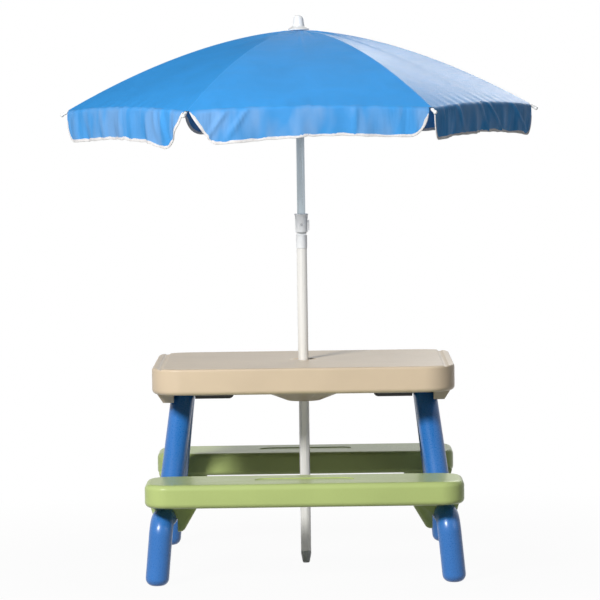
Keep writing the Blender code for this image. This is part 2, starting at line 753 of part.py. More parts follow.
def make_tilt_joint(lift):
    swivel = pivot("umbrella_swivel", (0, 0, JOINT_BASE_HEIGHT), parent=lift)
    tilt = pivot("umbrella_tilt", (0, 0, TILT_HEIGHT), parent=swivel)
    spigot = LOWER_POLE_RADIUS - POLE_WALL - GAP
    base_outline = [
        (0, JOINT_COLLAR_TOP),
        (JOINT_COLLAR_RADIUS, JOINT_COLLAR_TOP),
        (JOINT_COLLAR_RADIUS, JOINT_BASE_HEIGHT + GAP),
        (spigot, JOINT_BASE_HEIGHT + GAP),
        (spigot, JOINT_BASE_HEIGHT - JOINT_SPIGOT),
        (0, JOINT_BASE_HEIGHT - JOINT_SPIGOT),
    ]
    eye_thickness = 2 * TONGUE_HALF_THICKNESS
    pin_place = (0, 0, TILT_HEIGHT)
    bore = 2 * (FORK_RADIUS + OVERRUN)
    steps = [
        (
            "UNION",
            block(
                "tongue",
                (-TONGUE_HALF_WIDTH, -TONGUE_HALF_THICKNESS, JOINT_COLLAR_TOP - OVERRUN),
                (TONGUE_HALF_WIDTH, TONGUE_HALF_THICKNESS, TILT_HEIGHT),
            ),
        ),
        ("UNION", rod("tongue_eye", pin_place, "Y", TONGUE_HALF_WIDTH, eye_thickness, steps=ROUND_STEPS)),
        ("DIFFERENCE", rod("tilt_bore", pin_place, "Y", TILT_PIN_RADIUS + GAP, bore)),
    ]
    base = as_mesh(turned("tilt_joint_base", base_outline))
    carried(shaped(base, steps), "white", swivel)

    fork_outline = [
        (0, FORK_TOP + FORK_FLANGE_HEIGHT),
        (FORK_FLANGE_RADIUS, FORK_TOP + FORK_FLANGE_HEIGHT),
        (FORK_FLANGE_RADIUS, FORK_TOP),
        (FORK_RADIUS, FORK_TOP),
        (FORK_RADIUS, TILT_HEIGHT - FORK_BELOW),
        (0, TILT_HEIGHT - FORK_BELOW),
    ]
    slot = TONGUE_HALF_THICKNESS + RUNNING_GAP
    slot_top = TILT_HEIGHT + FORK_SLOT_ABOVE
    socket_top = FORK_TOP + FORK_FLANGE_HEIGHT + OVERRUN
    socket_low = (slot_top + FORK_TOP) / 2
    socket = rod(
        "pole_socket",
        (0, 0, (socket_top + socket_low) / 2),
        "Z",
        UPPER_POLE_RADIUS + GAP,
        socket_top - socket_low,
        steps=ROUND_STEPS,
    )
    fork_steps = [
        (
            "DIFFERENCE",
            block(
                "fork_slot",
                (-FORK_RADIUS - OVERRUN, -slot, TILT_HEIGHT - FORK_BELOW - OVERRUN),
                (FORK_RADIUS + OVERRUN, slot, slot_top),
            ),
        ),
        ("DIFFERENCE", socket),
        ("DIFFERENCE", rod("fork_bore", pin_place, "Y", TILT_PIN_RADIUS + GAP, bore)),
    ]
    fork = as_mesh(turned("tilt_joint_fork", fork_outline))
    carried(shaped(fork, fork_steps), "white", tilt)
    carried(rod("tilt_pin", pin_place, "Y", TILT_PIN_RADIUS, 2 * FORK_RADIUS), "steel", swivel)

    inner = UPPER_POLE_RADIUS - POLE_WALL
    pole_low = socket_low + GAP
    pole_outline = [
        (UPPER_POLE_RADIUS, CANOPY_APEX - UPPER_POLE_TOP_DROP),
        (UPPER_POLE_RADIUS, pole_low),
        (inner, pole_low),
        (inner, CANOPY_APEX - UPPER_POLE_TOP_DROP),
    ]
    carried(as_mesh(turned("upper_pole", pole_outline, hollow=True)), "grey_blue", tilt)

    press = pivot("tilt_button_slide", (FORK_RADIUS, 0, TILT_HEIGHT), parent=tilt)
    button = rounded_slab(
        "tilt_button",
        (FORK_RADIUS + RUNNING_GAP + BUTTON_PROUD / 2, 0, TILT_HEIGHT + (BUTTON_ABOVE - BUTTON_BELOW) / 2),
        (BUTTON_PROUD, 2 * BUTTON_HALF_WIDTH, BUTTON_BELOW + BUTTON_ABOVE),
        BUTTON_PROUD * BUTTON_CORNER_SHARE,
        BUTTON_PROUD * BUTTON_EDGE_SHARE,
        BUTTON_PROUD * BUTTON_EDGE_SHARE,
        corner_steps=3,
        edge_steps=2,
    )
    stem = block(
        "button_stem",
        (FORK_RADIUS - BUTTON_STEM_DEPTH, -TONGUE_HALF_THICKNESS, TILT_HEIGHT + BUTTON_STEM_START),
        (FORK_RADIUS + BUTTON_PROUD / 2, TONGUE_HALF_THICKNESS, TILT_HEIGHT + BUTTON_STEM_END),
    )
    carried(shaped(button, [("UNION", stem)]), "white", press)
    return tilt


# Canopy frame
def fabric_height(radius):
    """The canopy's outer face over a rib, this far from the pole."""
    return CANOPY_APEX - CANOPY_DROP * (radius / CANOPY_RADIUS) ** CANOPY_CURVE_POWER


def row_radius(row):
    """How far out along a rib each row of the canopy's cloth lies."""
    share = (row / GORE_ROWS) ** ROW_SPREAD_SHARE
    return FABRIC_HOLE_RADIUS + (CANOPY_RADIUS - FABRIC_HOLE_RADIUS) * share


def rib_height(radius):
    """A rib's centre line, which rises from the hub and then lies just under the seam."""
    under = FABRIC + 2 * GAP + RIB_RADIUS
    dip = fabric_height(HUB_PIVOT_RADIUS) - under - HUB_PIVOT_HEIGHT
    away = min((radius - HUB_PIVOT_RADIUS) / (RIB_RISE_RADIUS - HUB_PIVOT_RADIUS), 1)
    return fabric_height(radius) - under - dip * (1 - away) ** 2


def seam_slope(radius):
    return -CANOPY_DROP * CANOPY_CURVE_POWER / CANOPY_RADIUS * (radius / CANOPY_RADIUS) ** (
        CANOPY_CURVE_POWER - 1
    )


def rib_end():
    """Where a rib ends inside its cap, and the way that it points there."""
    start = Vector((CAP_START_RADIUS, 0, rib_height(CAP_START_RADIUS)))
    way = Vector((1, 0, seam_slope(CAP_START_RADIUS))).normalized()
    return start, way


def make_rib_mesh():
    start, way = rib_end()
    radii = [HUB_PIVOT_RADIUS + EYE_RADIUS / 2, (HUB_PIVOT_RADIUS + row_radius(1)) / 2]
    radii += [row_radius(row) for row in range(1, GORE_ROWS)] + [CAP_START_RADIUS]
    points = [Vector((radius, 0, rib_height(radius))) for radius in radii]
    points.append(start + way * (CAP_BORE_DEPTH - GAP))
    rib = as_mesh(tube("rib", points, RIB_RADIUS, resolution=1))
    hub_eye = Vector((HUB_PIVOT_RADIUS, 0, HUB_PIVOT_HEIGHT))
    eye_centre = rivet_place()
    length = 2 * EYE_HALF_LENGTH
    bore = 2 * (EYE_HALF_LENGTH + OVERRUN)
    steps = [
        ("UNION", rod("hub_eye", hub_eye, "Y", EYE_RADIUS, length, steps=SMALL_STEPS)),
        ("UNION", rod("rivet_eye", eye_centre, "Y", EYE_RADIUS, length, steps=SMALL_STEPS)),
        ("DIFFERENCE", rod("hub_bore", hub_eye, "Y", RIVET_RADIUS + GAP, bore, steps=SMALL_STEPS)),
        ("DIFFERENCE", rod("rivet_bore", eye_centre, "Y", RIVET_RADIUS + GAP, bore, steps=SMALL_STEPS)),
    ]
    return shaped(rib, steps)


def rivet_place():
    """The centre of the rivet that joins a rib to its stretcher."""
    return Vector((RIVET_RADIAL, 0, rib_height(RIVET_RADIAL) - EYE_RADIUS + RIB_RADIUS / 2))


def stretcher_offset():
    """How far beside the rib its stretcher lies."""
    return 2 * EYE_HALF_LENGTH + GAP


def make_stretcher_mesh():
    beside = Vector((0, stretcher_offset(), 0))
    rivet = rivet_place() + beside
    end = Vector((RUNNER_PIVOT_RADIUS, 0, RUNNER_PIVOT_HEIGHT)) + beside
    bar = as_mesh(tube("stretcher", [rivet, end], STRETCHER_RADIUS, resolution=2))
    length = 2 * EYE_HALF_LENGTH
    bore = 2 * (EYE_HALF_LENGTH + OVERRUN)
    steps = [
        ("UNION", rod("outer_eye", rivet, "Y", EYE_RADIUS, length, steps=SMALL_STEPS)),
        ("UNION", rod("inner_eye", end, "Y", 2 * STRETCHER_RADIUS, 2 * STRETCHER_RADIUS, steps=SMALL_STEPS)),
        ("DIFFERENCE", rod("outer_bore", rivet, "Y", RIVET_RADIUS + GAP, bore, steps=SMALL_STEPS)),
    ]
    return shaped(bar, steps)


def make_rivet_mesh():
    low = -EYE_HALF_LENGTH - GAP
    high = 3 * EYE_HALF_LENGTH + 2 * GAP
    centre = rivet_place() + Vector((0, (low + high) / 2, 0))
    head = 2 * RIVET_RADIUS
    steps = []
    for y in (low - RIVET_RADIUS / 2, high + RIVET_RADIUS / 2):
        place = rivet_place() + Vector((0, y, 0))
        steps.append(("UNION", rod("rivet_head", place, "Y", head, RIVET_RADIUS, steps=SMALL_STEPS)))
    shank = rod("rivet", centre, "Y", RIVET_RADIUS, high - low + RIVET_RADIUS, steps=SMALL_STEPS)
    return shaped(shank, steps)


def make_rib_cap_mesh():
    ball = CAP_LENGTH - CAP_BALL_RADIUS
    outline = [(0, CAP_LENGTH)]
    for step in range(1, END_ROUND_STEPS + 1):
        angle = math.radians(CAP_BALL_SWEEP_DEG) * step / END_ROUND_STEPS
        outline.append((CAP_BALL_RADIUS * math.sin(angle), ball + CAP_BALL_RADIUS * math.cos(angle)))
    bore = RIB_RADIUS + GAP
    outline += [(CAP_BODY_RADIUS, CAP_BORE_DEPTH / 2), (CAP_BODY_RADIUS, 0)]
    outline += [(bore, 0), (bore, CAP_BORE_DEPTH), (0, CAP_BORE_DEPTH)]
    cap = as_mesh(turned("rib_cap", outline, RIB_CAP_STEPS))
    start, way = rib_end()
    cap.data.transform(Matrix.Translation(start) @ way.to_track_quat("Z", "Y").to_matrix().to_4x4())
    return cap


def make_panel_mesh():
    """One sewn panel between two ribs with its hanging valance, as a thin closed sheet."""
    half = math.pi / RIB_COUNT
    columns = [-share for share in reversed(GORE_COLUMN_SHARES)] + list(GORE_COLUMN_SHARES[1:])
    form = bmesh.new()
    rows = []
    for row in range(GORE_ROWS + 1):
        radius = row_radius(row)
        chord = 2 * radius * math.sin(half)
        flat = radius * math.cos(half)
        edge = chord / 2 - SEAM_HALF_GAP
        seam = chord / 2 - min(VALANCE_START, SEAM_COLUMN_SHARE * chord)
        places = [-edge, -seam] + [share * chord / 2 for share in columns] + [seam, edge]
        rows.append([form.verts.new((flat, across, fabric_height(radius))) for across in places])
    rim = rows[-1]
    half_rim = CANOPY_RADIUS * math.sin(half)
    for row in range(1, VALANCE_ROWS + 1):
        line = [None]
        for vert in rim[1:-1]:
            run = min((half_rim - abs(vert.co.y)) / VALANCE_ROUND, 1)
            height = VALANCE_HEIGHT * math.sqrt(1 - (1 - run) ** 2)
            drop = Vector((0, 0, -height * row / VALANCE_ROWS))
            line.append(form.verts.new(vert.co + drop))
        line.append(None)
        rows.append(line)
    for upper, lower in zip(rows, rows[1:]):
        for column in range(len(upper) - 1):
            corners = (upper[column], lower[column], lower[column + 1], upper[column + 1])
            if None not in corners:
                form.faces.new(corners)
    mesh = bpy.data.meshes.new("panel")
    form.to_mesh(mesh)
    form.free()
    panel = bpy.data.objects.new("panel", mesh)
    shell = panel.modifiers.new("cloth", "SOLIDIFY")
    shell.thickness = FABRIC
    shell.offset = -1
    return as_mesh(panel)


def slots(name, steps_radius, low, high, offset, half_width):
    """Radial cutters, one beside each rib."""
    cutters = []
    for index in range(RIB_COUNT):
        cutter = block(
            name,
            (steps_radius, offset - half_width, low - OVERRUN),
            (HUB_RADIUS + RUNNER_TOOTH_RADIUS, offset + half_width, high + OVERRUN),
        )
        angle = math.radians(CANOPY_TURN_DEG) + index * TAU / RIB_COUNT
        cutter.data.transform(Matrix.Rotation(angle, 4, "Z"))
        cutters.append(("DIFFERENCE", cutter))
    return cutters


def make_hub(tilt):
    bore = UPPER_POLE_RADIUS + GAP
    low = CANOPY_APEX - HUB_BOTTOM_DROP
    top = CANOPY_APEX - HUB_TOP_DROP
    outline = [(HUB_RADIUS, top), (HUB_RADIUS, low), (bore, low), (bore, top)]
    hub = as_mesh(turned("hub", outline, hollow=True))
    half_slot = EYE_HALF_LENGTH + RUNNING_GAP
    cutters = slots("hub_slot", HUB_PIVOT_RADIUS - EYE_RADIUS, low, top, 0, half_slot)
    carried(shaped(hub, cutters), "white", tilt)

    flange_low = CANOPY_APEX + GAP
    flange_top = flange_low + FINIAL_FLANGE_HEIGHT
    top = CANOPY_APEX + FINIAL_HEIGHT
    crown = FINIAL_CROWN_RADIUS - FINIAL_EDGE_RADIUS
    finial_outline = [(0, top)]
    for step in range(END_ROUND_STEPS + 1):
        angle = math.pi / 2 * step / END_ROUND_STEPS
        radius = crown + FINIAL_EDGE_RADIUS * math.sin(angle)
        finial_outline.append((radius, top - FINIAL_EDGE_RADIUS * (1 - math.cos(angle))))
    finial_outline += [
        (FINIAL_KNOB_RADIUS, flange_top + FINIAL_CONE_HEIGHT),
        (FINIAL_FLANGE_RADIUS, flange_top),
        (FINIAL_FLANGE_RADIUS, flange_low),
        (FINIAL_SPIGOT_RADIUS, flange_low),
        (FINIAL_SPIGOT_RADIUS, flange_low - FINIAL_SPIGOT),
        (0, flange_low - FINIAL_SPIGOT),
    ]
    carried(as_mesh(turned("finial", finial_outline)), "white", tilt)


def make_runner(tilt):
    slide = pivot("runner_slide", (0, 0, RUNNER_PIVOT_HEIGHT), parent=tilt)
    bore = UPPER_POLE_RADIUS + RUNNING_GAP
    low = RUNNER_PIVOT_HEIGHT - RUNNER_TOOTH_HALF_HEIGHT
    high = RUNNER_PIVOT_HEIGHT + RUNNER_TOOTH_HALF_HEIGHT
    top = RUNNER_PIVOT_HEIGHT + SLEEVE_ABOVE
    bottom = RUNNER_PIVOT_HEIGHT - SLEEVE_BELOW
    outline = [
        (SLEEVE_RADIUS, top),
        (SLEEVE_RADIUS, high),
        (RUNNER_TOOTH_RADIUS, high),
        (RUNNER_TOOTH_RADIUS, low),
        (SLEEVE_RADIUS, low),
        (SLEEVE_RADIUS, bottom),
        (bore, bottom),
        (bore, top),
    ]
    runner = as_mesh(turned("runner", outline, hollow=True))
    half_slot = STRETCHER_RADIUS + 2 * RUNNING_GAP
    cutters = slots("runner_slot", SLEEVE_RADIUS + GAP, low, high, stretcher_offset(), half_slot)
    carried(shaped(runner, cutters), "white", slide)


def make_canopy(tilt):
    patterns = {
        "rib": (make_rib_mesh(), "steel"),
        "rib_cap": (make_rib_cap_mesh(), "white"),
        "rib_rivet": (make_rivet_mesh(), "steel"),
    }
    stretcher = make_stretcher_mesh()
    panel = make_panel_mesh()
    hub_pivot = Vector((HUB_PIVOT_RADIUS, 0, HUB_PIVOT_HEIGHT))
    for index in range(RIB_COUNT):
        number = index + 1
        angle = math.radians(CANOPY_TURN_DEG) + index * TAU / RIB_COUNT
        turn = Matrix.Rotation(angle, 4, "Z")
        fold = pivot(f"rib_{number}_fold", turn @ hub_pivot, angle, tilt)
        swing = pivot(f"stretcher_{number}_pivot", turn @ rivet_place(), angle, fold)
        for kind, (pattern, finish) in patterns.items():
            copy = bpy.data.objects.new(f"{kind}_{number}", pattern.data.copy())
            copy.data.transform(turn)
            carried(copy, finish, fold)
        bar = bpy.data.objects.new(f"stretcher_{number}", stretcher.data.copy())
        bar.data.transform(turn)
        carried(bar, "steel", swing)
        sheet = bpy.data.objects.new(f"canopy_panel_{number}", panel.data.copy())
        sheet.data.transform(turn @ Matrix.Rotation(math.pi / RIB_COUNT, 4, "Z"))
        carried(sheet, "fabric", fold)
    for pattern in [pattern for pattern, _ in patterns.values()] + [stretcher, panel]:
        bpy.data.objects.remove(pattern)


def build():
    root = pivot("table", (0, 0, 0))
    make_table_top(root)
    make_bracket(-1, "left_hinge_bracket", root)
    make_bracket(1, "right_hinge_bracket", root)
    make_hinge_pins(root)
    make_bench_units(root)
    lift = make_lower_pole(root)
    tilt = make_tilt_joint(lift)
    make_hub(tilt)
    make_runner(tilt)
    make_canopy(tilt)
    bpy.context.view_layer.update()


build()
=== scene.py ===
"""Finishes and fine detail for a children's play table with two benches and a sun umbrella."""

import math

import bmesh
import bpy
import numpy as np
from mathutils import Matrix, Vector


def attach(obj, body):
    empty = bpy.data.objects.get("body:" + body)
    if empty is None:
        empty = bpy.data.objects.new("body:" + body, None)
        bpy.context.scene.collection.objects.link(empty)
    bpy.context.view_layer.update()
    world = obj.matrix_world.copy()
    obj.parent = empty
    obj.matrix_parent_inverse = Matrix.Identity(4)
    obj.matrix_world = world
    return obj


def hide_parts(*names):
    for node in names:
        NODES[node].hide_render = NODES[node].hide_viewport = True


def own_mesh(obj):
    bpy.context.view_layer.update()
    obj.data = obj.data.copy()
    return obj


bl_info = {
    "name": "Kids play table detail",
    "version": (1, 0, 0),
    "blender": (4, 5, 0),
    "location": "View3D > Sidebar > Play table",
    "description": "Builds the moulded top, benches, legs, umbrella and studio around a packed play table",
    "category": "Object",
}

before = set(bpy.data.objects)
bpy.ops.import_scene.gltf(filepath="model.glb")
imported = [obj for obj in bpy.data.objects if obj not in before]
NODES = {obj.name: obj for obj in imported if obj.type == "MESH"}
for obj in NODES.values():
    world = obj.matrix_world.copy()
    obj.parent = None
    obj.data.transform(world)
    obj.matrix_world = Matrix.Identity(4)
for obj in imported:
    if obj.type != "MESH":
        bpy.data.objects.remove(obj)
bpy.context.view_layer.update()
RIBS = 6
SIDES = (-1, 1)
HANDS = (("left", -1), ("right", 1))
ROWS = (("front", 1), ("rear", -1))


# Values that can be changed in the panel
def plain_value(name, description, default, **more):
    return bpy.props.FloatProperty(name=name, description=description, default=default, **more)


def length(name, description, default):
    """A size in metres."""
    return plain_value(name, description, default, subtype="DISTANCE", unit="LENGTH", precision=4)


def degrees(name, description, default):
    return plain_value(name, description, math.radians(default), subtype="ANGLE")


def light_power(name, description, default):
    return plain_value(name, description, default, subtype="POWER")


def colour(name, description, default):
    return bpy.props.FloatVectorProperty(
        name=name, description=description, default=default, size=3, min=0, max=1, subtype="COLOR"
    )


def count(name, description, default):
    return bpy.props.IntProperty(name=name, description=description, default=default, min=1)


def group(kind, name, description):
    return bpy.props.PointerProperty(type=kind, name=name, description=description)


class TopSizes(bpy.types.PropertyGroup):
    width: length("Length", "Table top along the benches", 0.719)
    depth: length("Depth", "Table top from bench to bench", 0.500)
    height: length("Height", "Upper face above the floor", 0.497)
    thickness: length("Thickness", "Depth of the rim", 0.0625)
    corner: length("Corner", "Corner radius in plan", 0.075)
    edge: length("Upper edge", "Radius of the upper edge", 0.006)
    under_edge: length("Under edge", "Radius of the lower edge", 0.011)
    groove_x: length("Groove place", "Groove's distance from the middle", 0.338)
    groove_width: length("Groove width", "Width of each end groove", 0.014)
    groove_depth: length("Groove depth", "Depth of each end groove", 0.0035)
    dish: length("Dish radius", "Shallow dish round the pole hole", 0.032)
    dish_depth: length("Dish depth", "Depth of that dish", 0.002)
    hole: length("Hole radius", "Hole that the pole stands in", 0.0131)
    boss_drop: length("Boss drop", "How far the boss hangs down", 0.0365)
    boss_tip: length("Boss tip", "Boss radius at its lower face", 0.0412)
    boss_root: length("Boss root", "Boss radius under the top", 0.136)
    skirt_drop: length("Skirt drop", "How far the end skirts hang down", 0.0285)
    skirt_tip_x: length("Skirt tip", "Outer face of the skirt at its lower edge", 0.337)
    skirt_half: length("Skirt half length", "Half the skirt's length at its root", 0.150)
    skirt_tip_half: length("Skirt tip half length", "Half its length at the lower edge", 0.118)
    channel_half: length("Channel half length", "Half the leg channel's length", 0.088)
    channel_inner: length("Channel inner", "Inner wall of the leg channel", 0.2615)
    channel_outer: length("Channel outer", "Outer wall of the leg channel", 0.3235)
    channel_height: length("Channel height", "Leg channel above the underside", 0.0155)
    dimple_mouth: length("Dimple mouth", "Dimple radius at the underside", 0.014)
    dimple_floor: length("Dimple floor", "Dimple radius at its end", 0.007)
    dimple_depth: length("Dimple depth", "How far a dimple is pressed up", 0.022)
    dimple_pitch_x: length("Dimple pitch", "Distance between dimples in a row", 0.066)
    dimple_pitch_y: length("Dimple row pitch", "Distance between dimple rows", 0.060)
    dimple_first_y: length("First dimple row", "Inner dimple row from the middle", 0.128)
    dimple_columns: count("Dimple columns", "Dimples in each row", 8)


class BenchSizes(bpy.types.PropertyGroup):
    width: length("Length", "Bench from end to end", 0.743)
    depth: length("Depth", "Seat depth", 0.195)
    height: length("Height", "Seat above the floor", 0.243)
    thickness: length("Thickness", "Depth of the seat's rim", 0.055)
    centre_y: length("Distance", "Seat's middle from the table's middle", 0.325)
    corner: length("Corner", "Corner radius in plan", 0.055)
    edge: length("Upper edge", "Radius of the rolled upper edge", 0.013)
    under_edge: length("Under edge", "Radius of the lower edge", 0.012)
    recess_width: length("Recess length", "Stadium recess in the seat", 0.232)
    recess_depth_y: length("Recess width", "Recess across the seat", 0.058)
    recess_depth: length("Recess depth", "How deep the recess is", 0.002)
    pocket_inner: length("Pocket inner", "Leg pocket's inner end at its root", 0.238)
    pocket_outer: length("Pocket outer", "Leg pocket's outer end at its root", 0.369)
    pocket_tip_inner: length("Pocket tip inner", "Inner end at the lower edge", 0.2865)
    pocket_tip_outer: length("Pocket tip outer", "Outer end at the lower edge", 0.346)
    pocket_near: length("Pocket near", "Pocket's near wall at its root", 0.236)
    pocket_far: length("Pocket far", "Pocket's far wall at its root", 0.296)
    pocket_tip_near: length("Pocket tip near", "Near wall at the lower edge", 0.244)
    pocket_tip_far: length("Pocket tip far", "Far wall at the lower edge", 0.288)
    pocket_tip: length("Pocket tip height", "Lower edge above the floor", 0.117)
    pocket_gap: length("Pocket gap", "Space beside the leg below its middle", 0.002)
    screw_y: length("Screw distance", "Bench screw from the table's middle", 0.266)


class LegSizes(bpy.types.PropertyGroup):
    radius: length("Radius", "Leg tube radius", 0.0275)
    pivot_x: length("Hinge side", "Leg's middle at its hinge", 0.2925)
    pivot_y: length("Hinge distance", "Hinge pin from the table's middle", 0.045)
    pivot_height: length("Hinge height", "Hinge pin above the floor", 0.418)
    knee_x: length("Knee side", "Knee's place along the table", 0.3256)
    knee_y: length("Knee distance", "Knee from the table's middle", 0.215)
    shoulder_x: length("Shoulder side", "Shoulder's place along the table", 0.334)
    foot_x: length("Foot side", "Foot's place along the table", 0.3465)
    foot_y: length("Foot distance", "Foot from the table's middle", 0.345)
    knee_bend: length("Knee bend", "Bend radius under the bench", 0.050)
    shoulder_bend: length("Shoulder bend", "Bend radius above the foot", 0.034)
    foot_edge: length("Foot edge", "Rounding at the floor", 0.018)
    run_height: length("Run height", "Middle of the run under the bench", 0.1515)
    pin: length("Pin radius", "Hinge pin radius", 0.005)
    screw: length("Screw radius", "Bench screw radius", 0.0025)
    screw_head: length("Screw head radius", "Bench screw head radius", 0.005)
    screw_head_height: length("Screw head height", "Bench screw head height", 0.0028)
    bracket_inner: length("Bracket inner", "Bracket's inner end", 0.168)
    bracket_outer: length("Bracket outer", "Bracket's outer face", 0.2615)
    bracket_half: length("Bracket half depth", "Half the bracket's depth", 0.074)
    bracket_wall: length("Bracket wall", "Plastic below the hinge pins", 0.0025)
    bracket_round: length("Bracket round", "Rounding of its inner end", 0.012)


class PoleSizes(bpy.types.PropertyGroup):
    lower: length("Lower radius", "Lower tube radius", 0.0125)
    upper: length("Upper radius", "Upper tube radius", 0.010)
    wall: length("Wall", "Tube wall", 0.001)
    plug_height: length("Plug height", "Tapered end plug", 0.029)
    plug_tip: length("Plug tip", "Radius at the plug's end", 0.0088)
    base_height: length("Joint base", "Where the lower tube ends", 0.766)
    collar: length("Collar radius", "Joint collar radius", 0.0133)
    collar_top: length("Collar top", "Top of the joint collar", 0.7992)
    tilt_height: length("Tilt height", "Tilt pin above the floor", 0.824)
    tongue: length("Tongue half width", "Half the tongue's width", 0.0120)
    tongue_half: length("Tongue half thickness", "Half the tongue's thickness", 0.0045)
    fork: length("Fork radius", "Fork radius", 0.0155)
    fork_bottom: length("Fork bottom", "Lower end of the fork", 0.8055)
    fork_top: length("Fork top", "Underside of the fork's flange", 0.8465)
    slot_top: length("Slot top", "Upper end of the fork's slot", 0.8374)
    flange: length("Flange radius", "Fork flange radius", 0.0168)
    flange_height: length("Flange height", "Fork flange height", 0.0035)
    pin: length("Tilt pin", "Tilt pin radius", 0.003)
    upper_top: length("Upper tube top", "Upper end of the upper tube", 1.2912)


class CanopySizes(bpy.types.PropertyGroup):
    apex: length("Apex", "Cloth height at the pole", 1.2930)
    drop: length("Drop", "Fall from apex to rim", 0.1848)
    radius: length("Radius", "Cloth radius along a rib", 0.558)
    power: plain_value("Curve", "Power of the rib's curve", 1.7)
    turn: degrees("Turn", "Angle of the first rib", 2.8)
    cloth: length("Cloth", "Cloth thickness", 0.001)
    hole: length("Cloth hole", "Hole in the cloth round the pole", 0.0124)
    valance: length("Valance", "Height of the hanging edge", 0.0735)
    valance_start: length("Valance start", "Where the valance starts beside a rib", 0.0058)
    valance_round: plain_value("Valance corners", "Scale of the valance's cut corners", 1.0, min=0.1)
    rim_lift: length("Rim lift", "How far the rim bows up between ribs", 0.009)
    sag: length("Sag", "How far the cloth dips between ribs", 0.0035)
    crease: length("Crease", "Height of the fold line in each panel", 0.0016)
    pucker: length("Pucker", "Height of the cloth's puckers where it is tied to a rib", 0.0045)
    crest: length("Valance crease", "Height of a sharp crease in the hanging edge", 0.0075)
    rim_round: length("Rim round", "How far the cloth rounds outwards over its rim", 0.006)
    tape: length("Tape width", "Width of the white binding", 0.0062)
    hub: length("Hub radius", "Rib hub radius", 0.0235)
    hub_bottom: length("Hub bottom", "Underside of the hub", 1.266)
    hub_top: length("Hub top", "Upper side of the hub", 1.2888)
    hub_pivot: length("Hub pivot", "Rib pivot from the pole's middle", 0.020)
    hub_pivot_height: length("Hub pivot height", "Rib pivot above the floor", 1.276)
    runner_height: length("Runner height", "Runner's pivots above the floor", 1.158)
    sleeve: length("Sleeve radius", "Runner sleeve radius", 0.0138)
    sleeve_below: length("Sleeve below", "Sleeve under its pivots", 0.026)
    sleeve_above: length("Sleeve above", "Sleeve over its pivots", 0.018)
    tooth: length("Tooth radius", "Runner tooth ring radius", 0.0225)
    tooth_half: length("Tooth half height", "Half the tooth ring's height", 0.006)
    cap_start: length("Cap start", "Where a rib cap starts", 0.5600)
    cap_length: length("Cap length", "Rib cap length", 0.0195)
    cap_body: length("Cap body", "Rib cap radius", 0.0036)
    cap_ball: length("Cap ball", "Radius of the cap's round end", 0.0048)
    finial_top: length("Finial top", "Top of the finial", 1.3285)
    finial_flange: length("Finial flange", "Finial flange radius", 0.0255)
    finial_knob: length("Finial knob", "Finial radius above its flange", 0.0145)
    finial_crown: length("Finial crown", "Finial radius near its top", 0.0118)


class Colours(bpy.types.PropertyGroup):
    tan: colour("Tan", "Table top plastic", (0.640, 0.520, 0.375))
    green: colour("Green", "Bench plastic", (0.430, 0.530, 0.190))
    blue: colour("Blue", "Leg plastic", (0.020, 0.158, 0.500))
    black: colour("Black", "Hinge brackets", (0.018, 0.018, 0.020))
    white: colour("White", "Umbrella fittings", (0.830, 0.850, 0.870))
    lower_tube: colour("Lower tube", "Painted lower tube", (0.800, 0.795, 0.770))
    upper_tube: colour("Upper tube", "Coated upper tube", (0.560, 0.640, 0.690))
    steel: colour("Steel", "Plated steel", (0.520, 0.530, 0.550))
    cloth: colour("Cloth", "Umbrella cloth", (0.040, 0.325, 0.800))
    tape: colour("Tape", "White binding", (0.780, 0.770, 0.780))
    floor: colour("Floor", "Studio floor", (0.350, 0.345, 0.335))


class StudioSettings(bpy.types.PropertyGroup):
    camera_x: length("Camera side", "Camera's place to the side", 0.042)
    camera_y: length("Camera distance", "Camera's distance in front", 8.224)
    camera_height: length("Camera height", "Camera above the floor", 1.196)
    lens: plain_value("Lens", "Focal length", 204.0, subtype="DISTANCE_CAMERA")
    pitch: degrees("Pitch", "Downward tilt", 3.863)
    yaw: degrees("Yaw", "Turn to the right", -0.335)
    roll: degrees("Roll", "Turn about the lens", 0.833)
    key_power: light_power("Key", "Main softbox", 305)
    fill_power: light_power("Fill", "Fill softbox", 15)
    rim_power: light_power("Rim", "Softbox behind on the right", 26)
    sky: plain_value("Room light", "Even light from all round", 0.03)


class PlayTableSettings(bpy.types.PropertyGroup):
    top: group(TopSizes, "Top", "Sizes of the table top")
    bench: group(BenchSizes, "Bench", "Sizes of a bench")
    leg: group(LegSizes, "Leg", "Sizes of a leg")
    pole: group(PoleSizes, "Pole", "Sizes of the pole and joint")
    canopy: group(CanopySizes, "Canopy", "Sizes of the canopy")
    colours: group(Colours, "Colours", "Colours of the finishes")
    studio: group(StudioSettings, "Studio", "Camera and lights")


# Material nodes
def toned(base, gain, lift=0.0):
    """A colour made darker or lighter, then lifted towards white, with full opacity."""
    return (*[min(1, part * gain + lift) for part in base], 1)


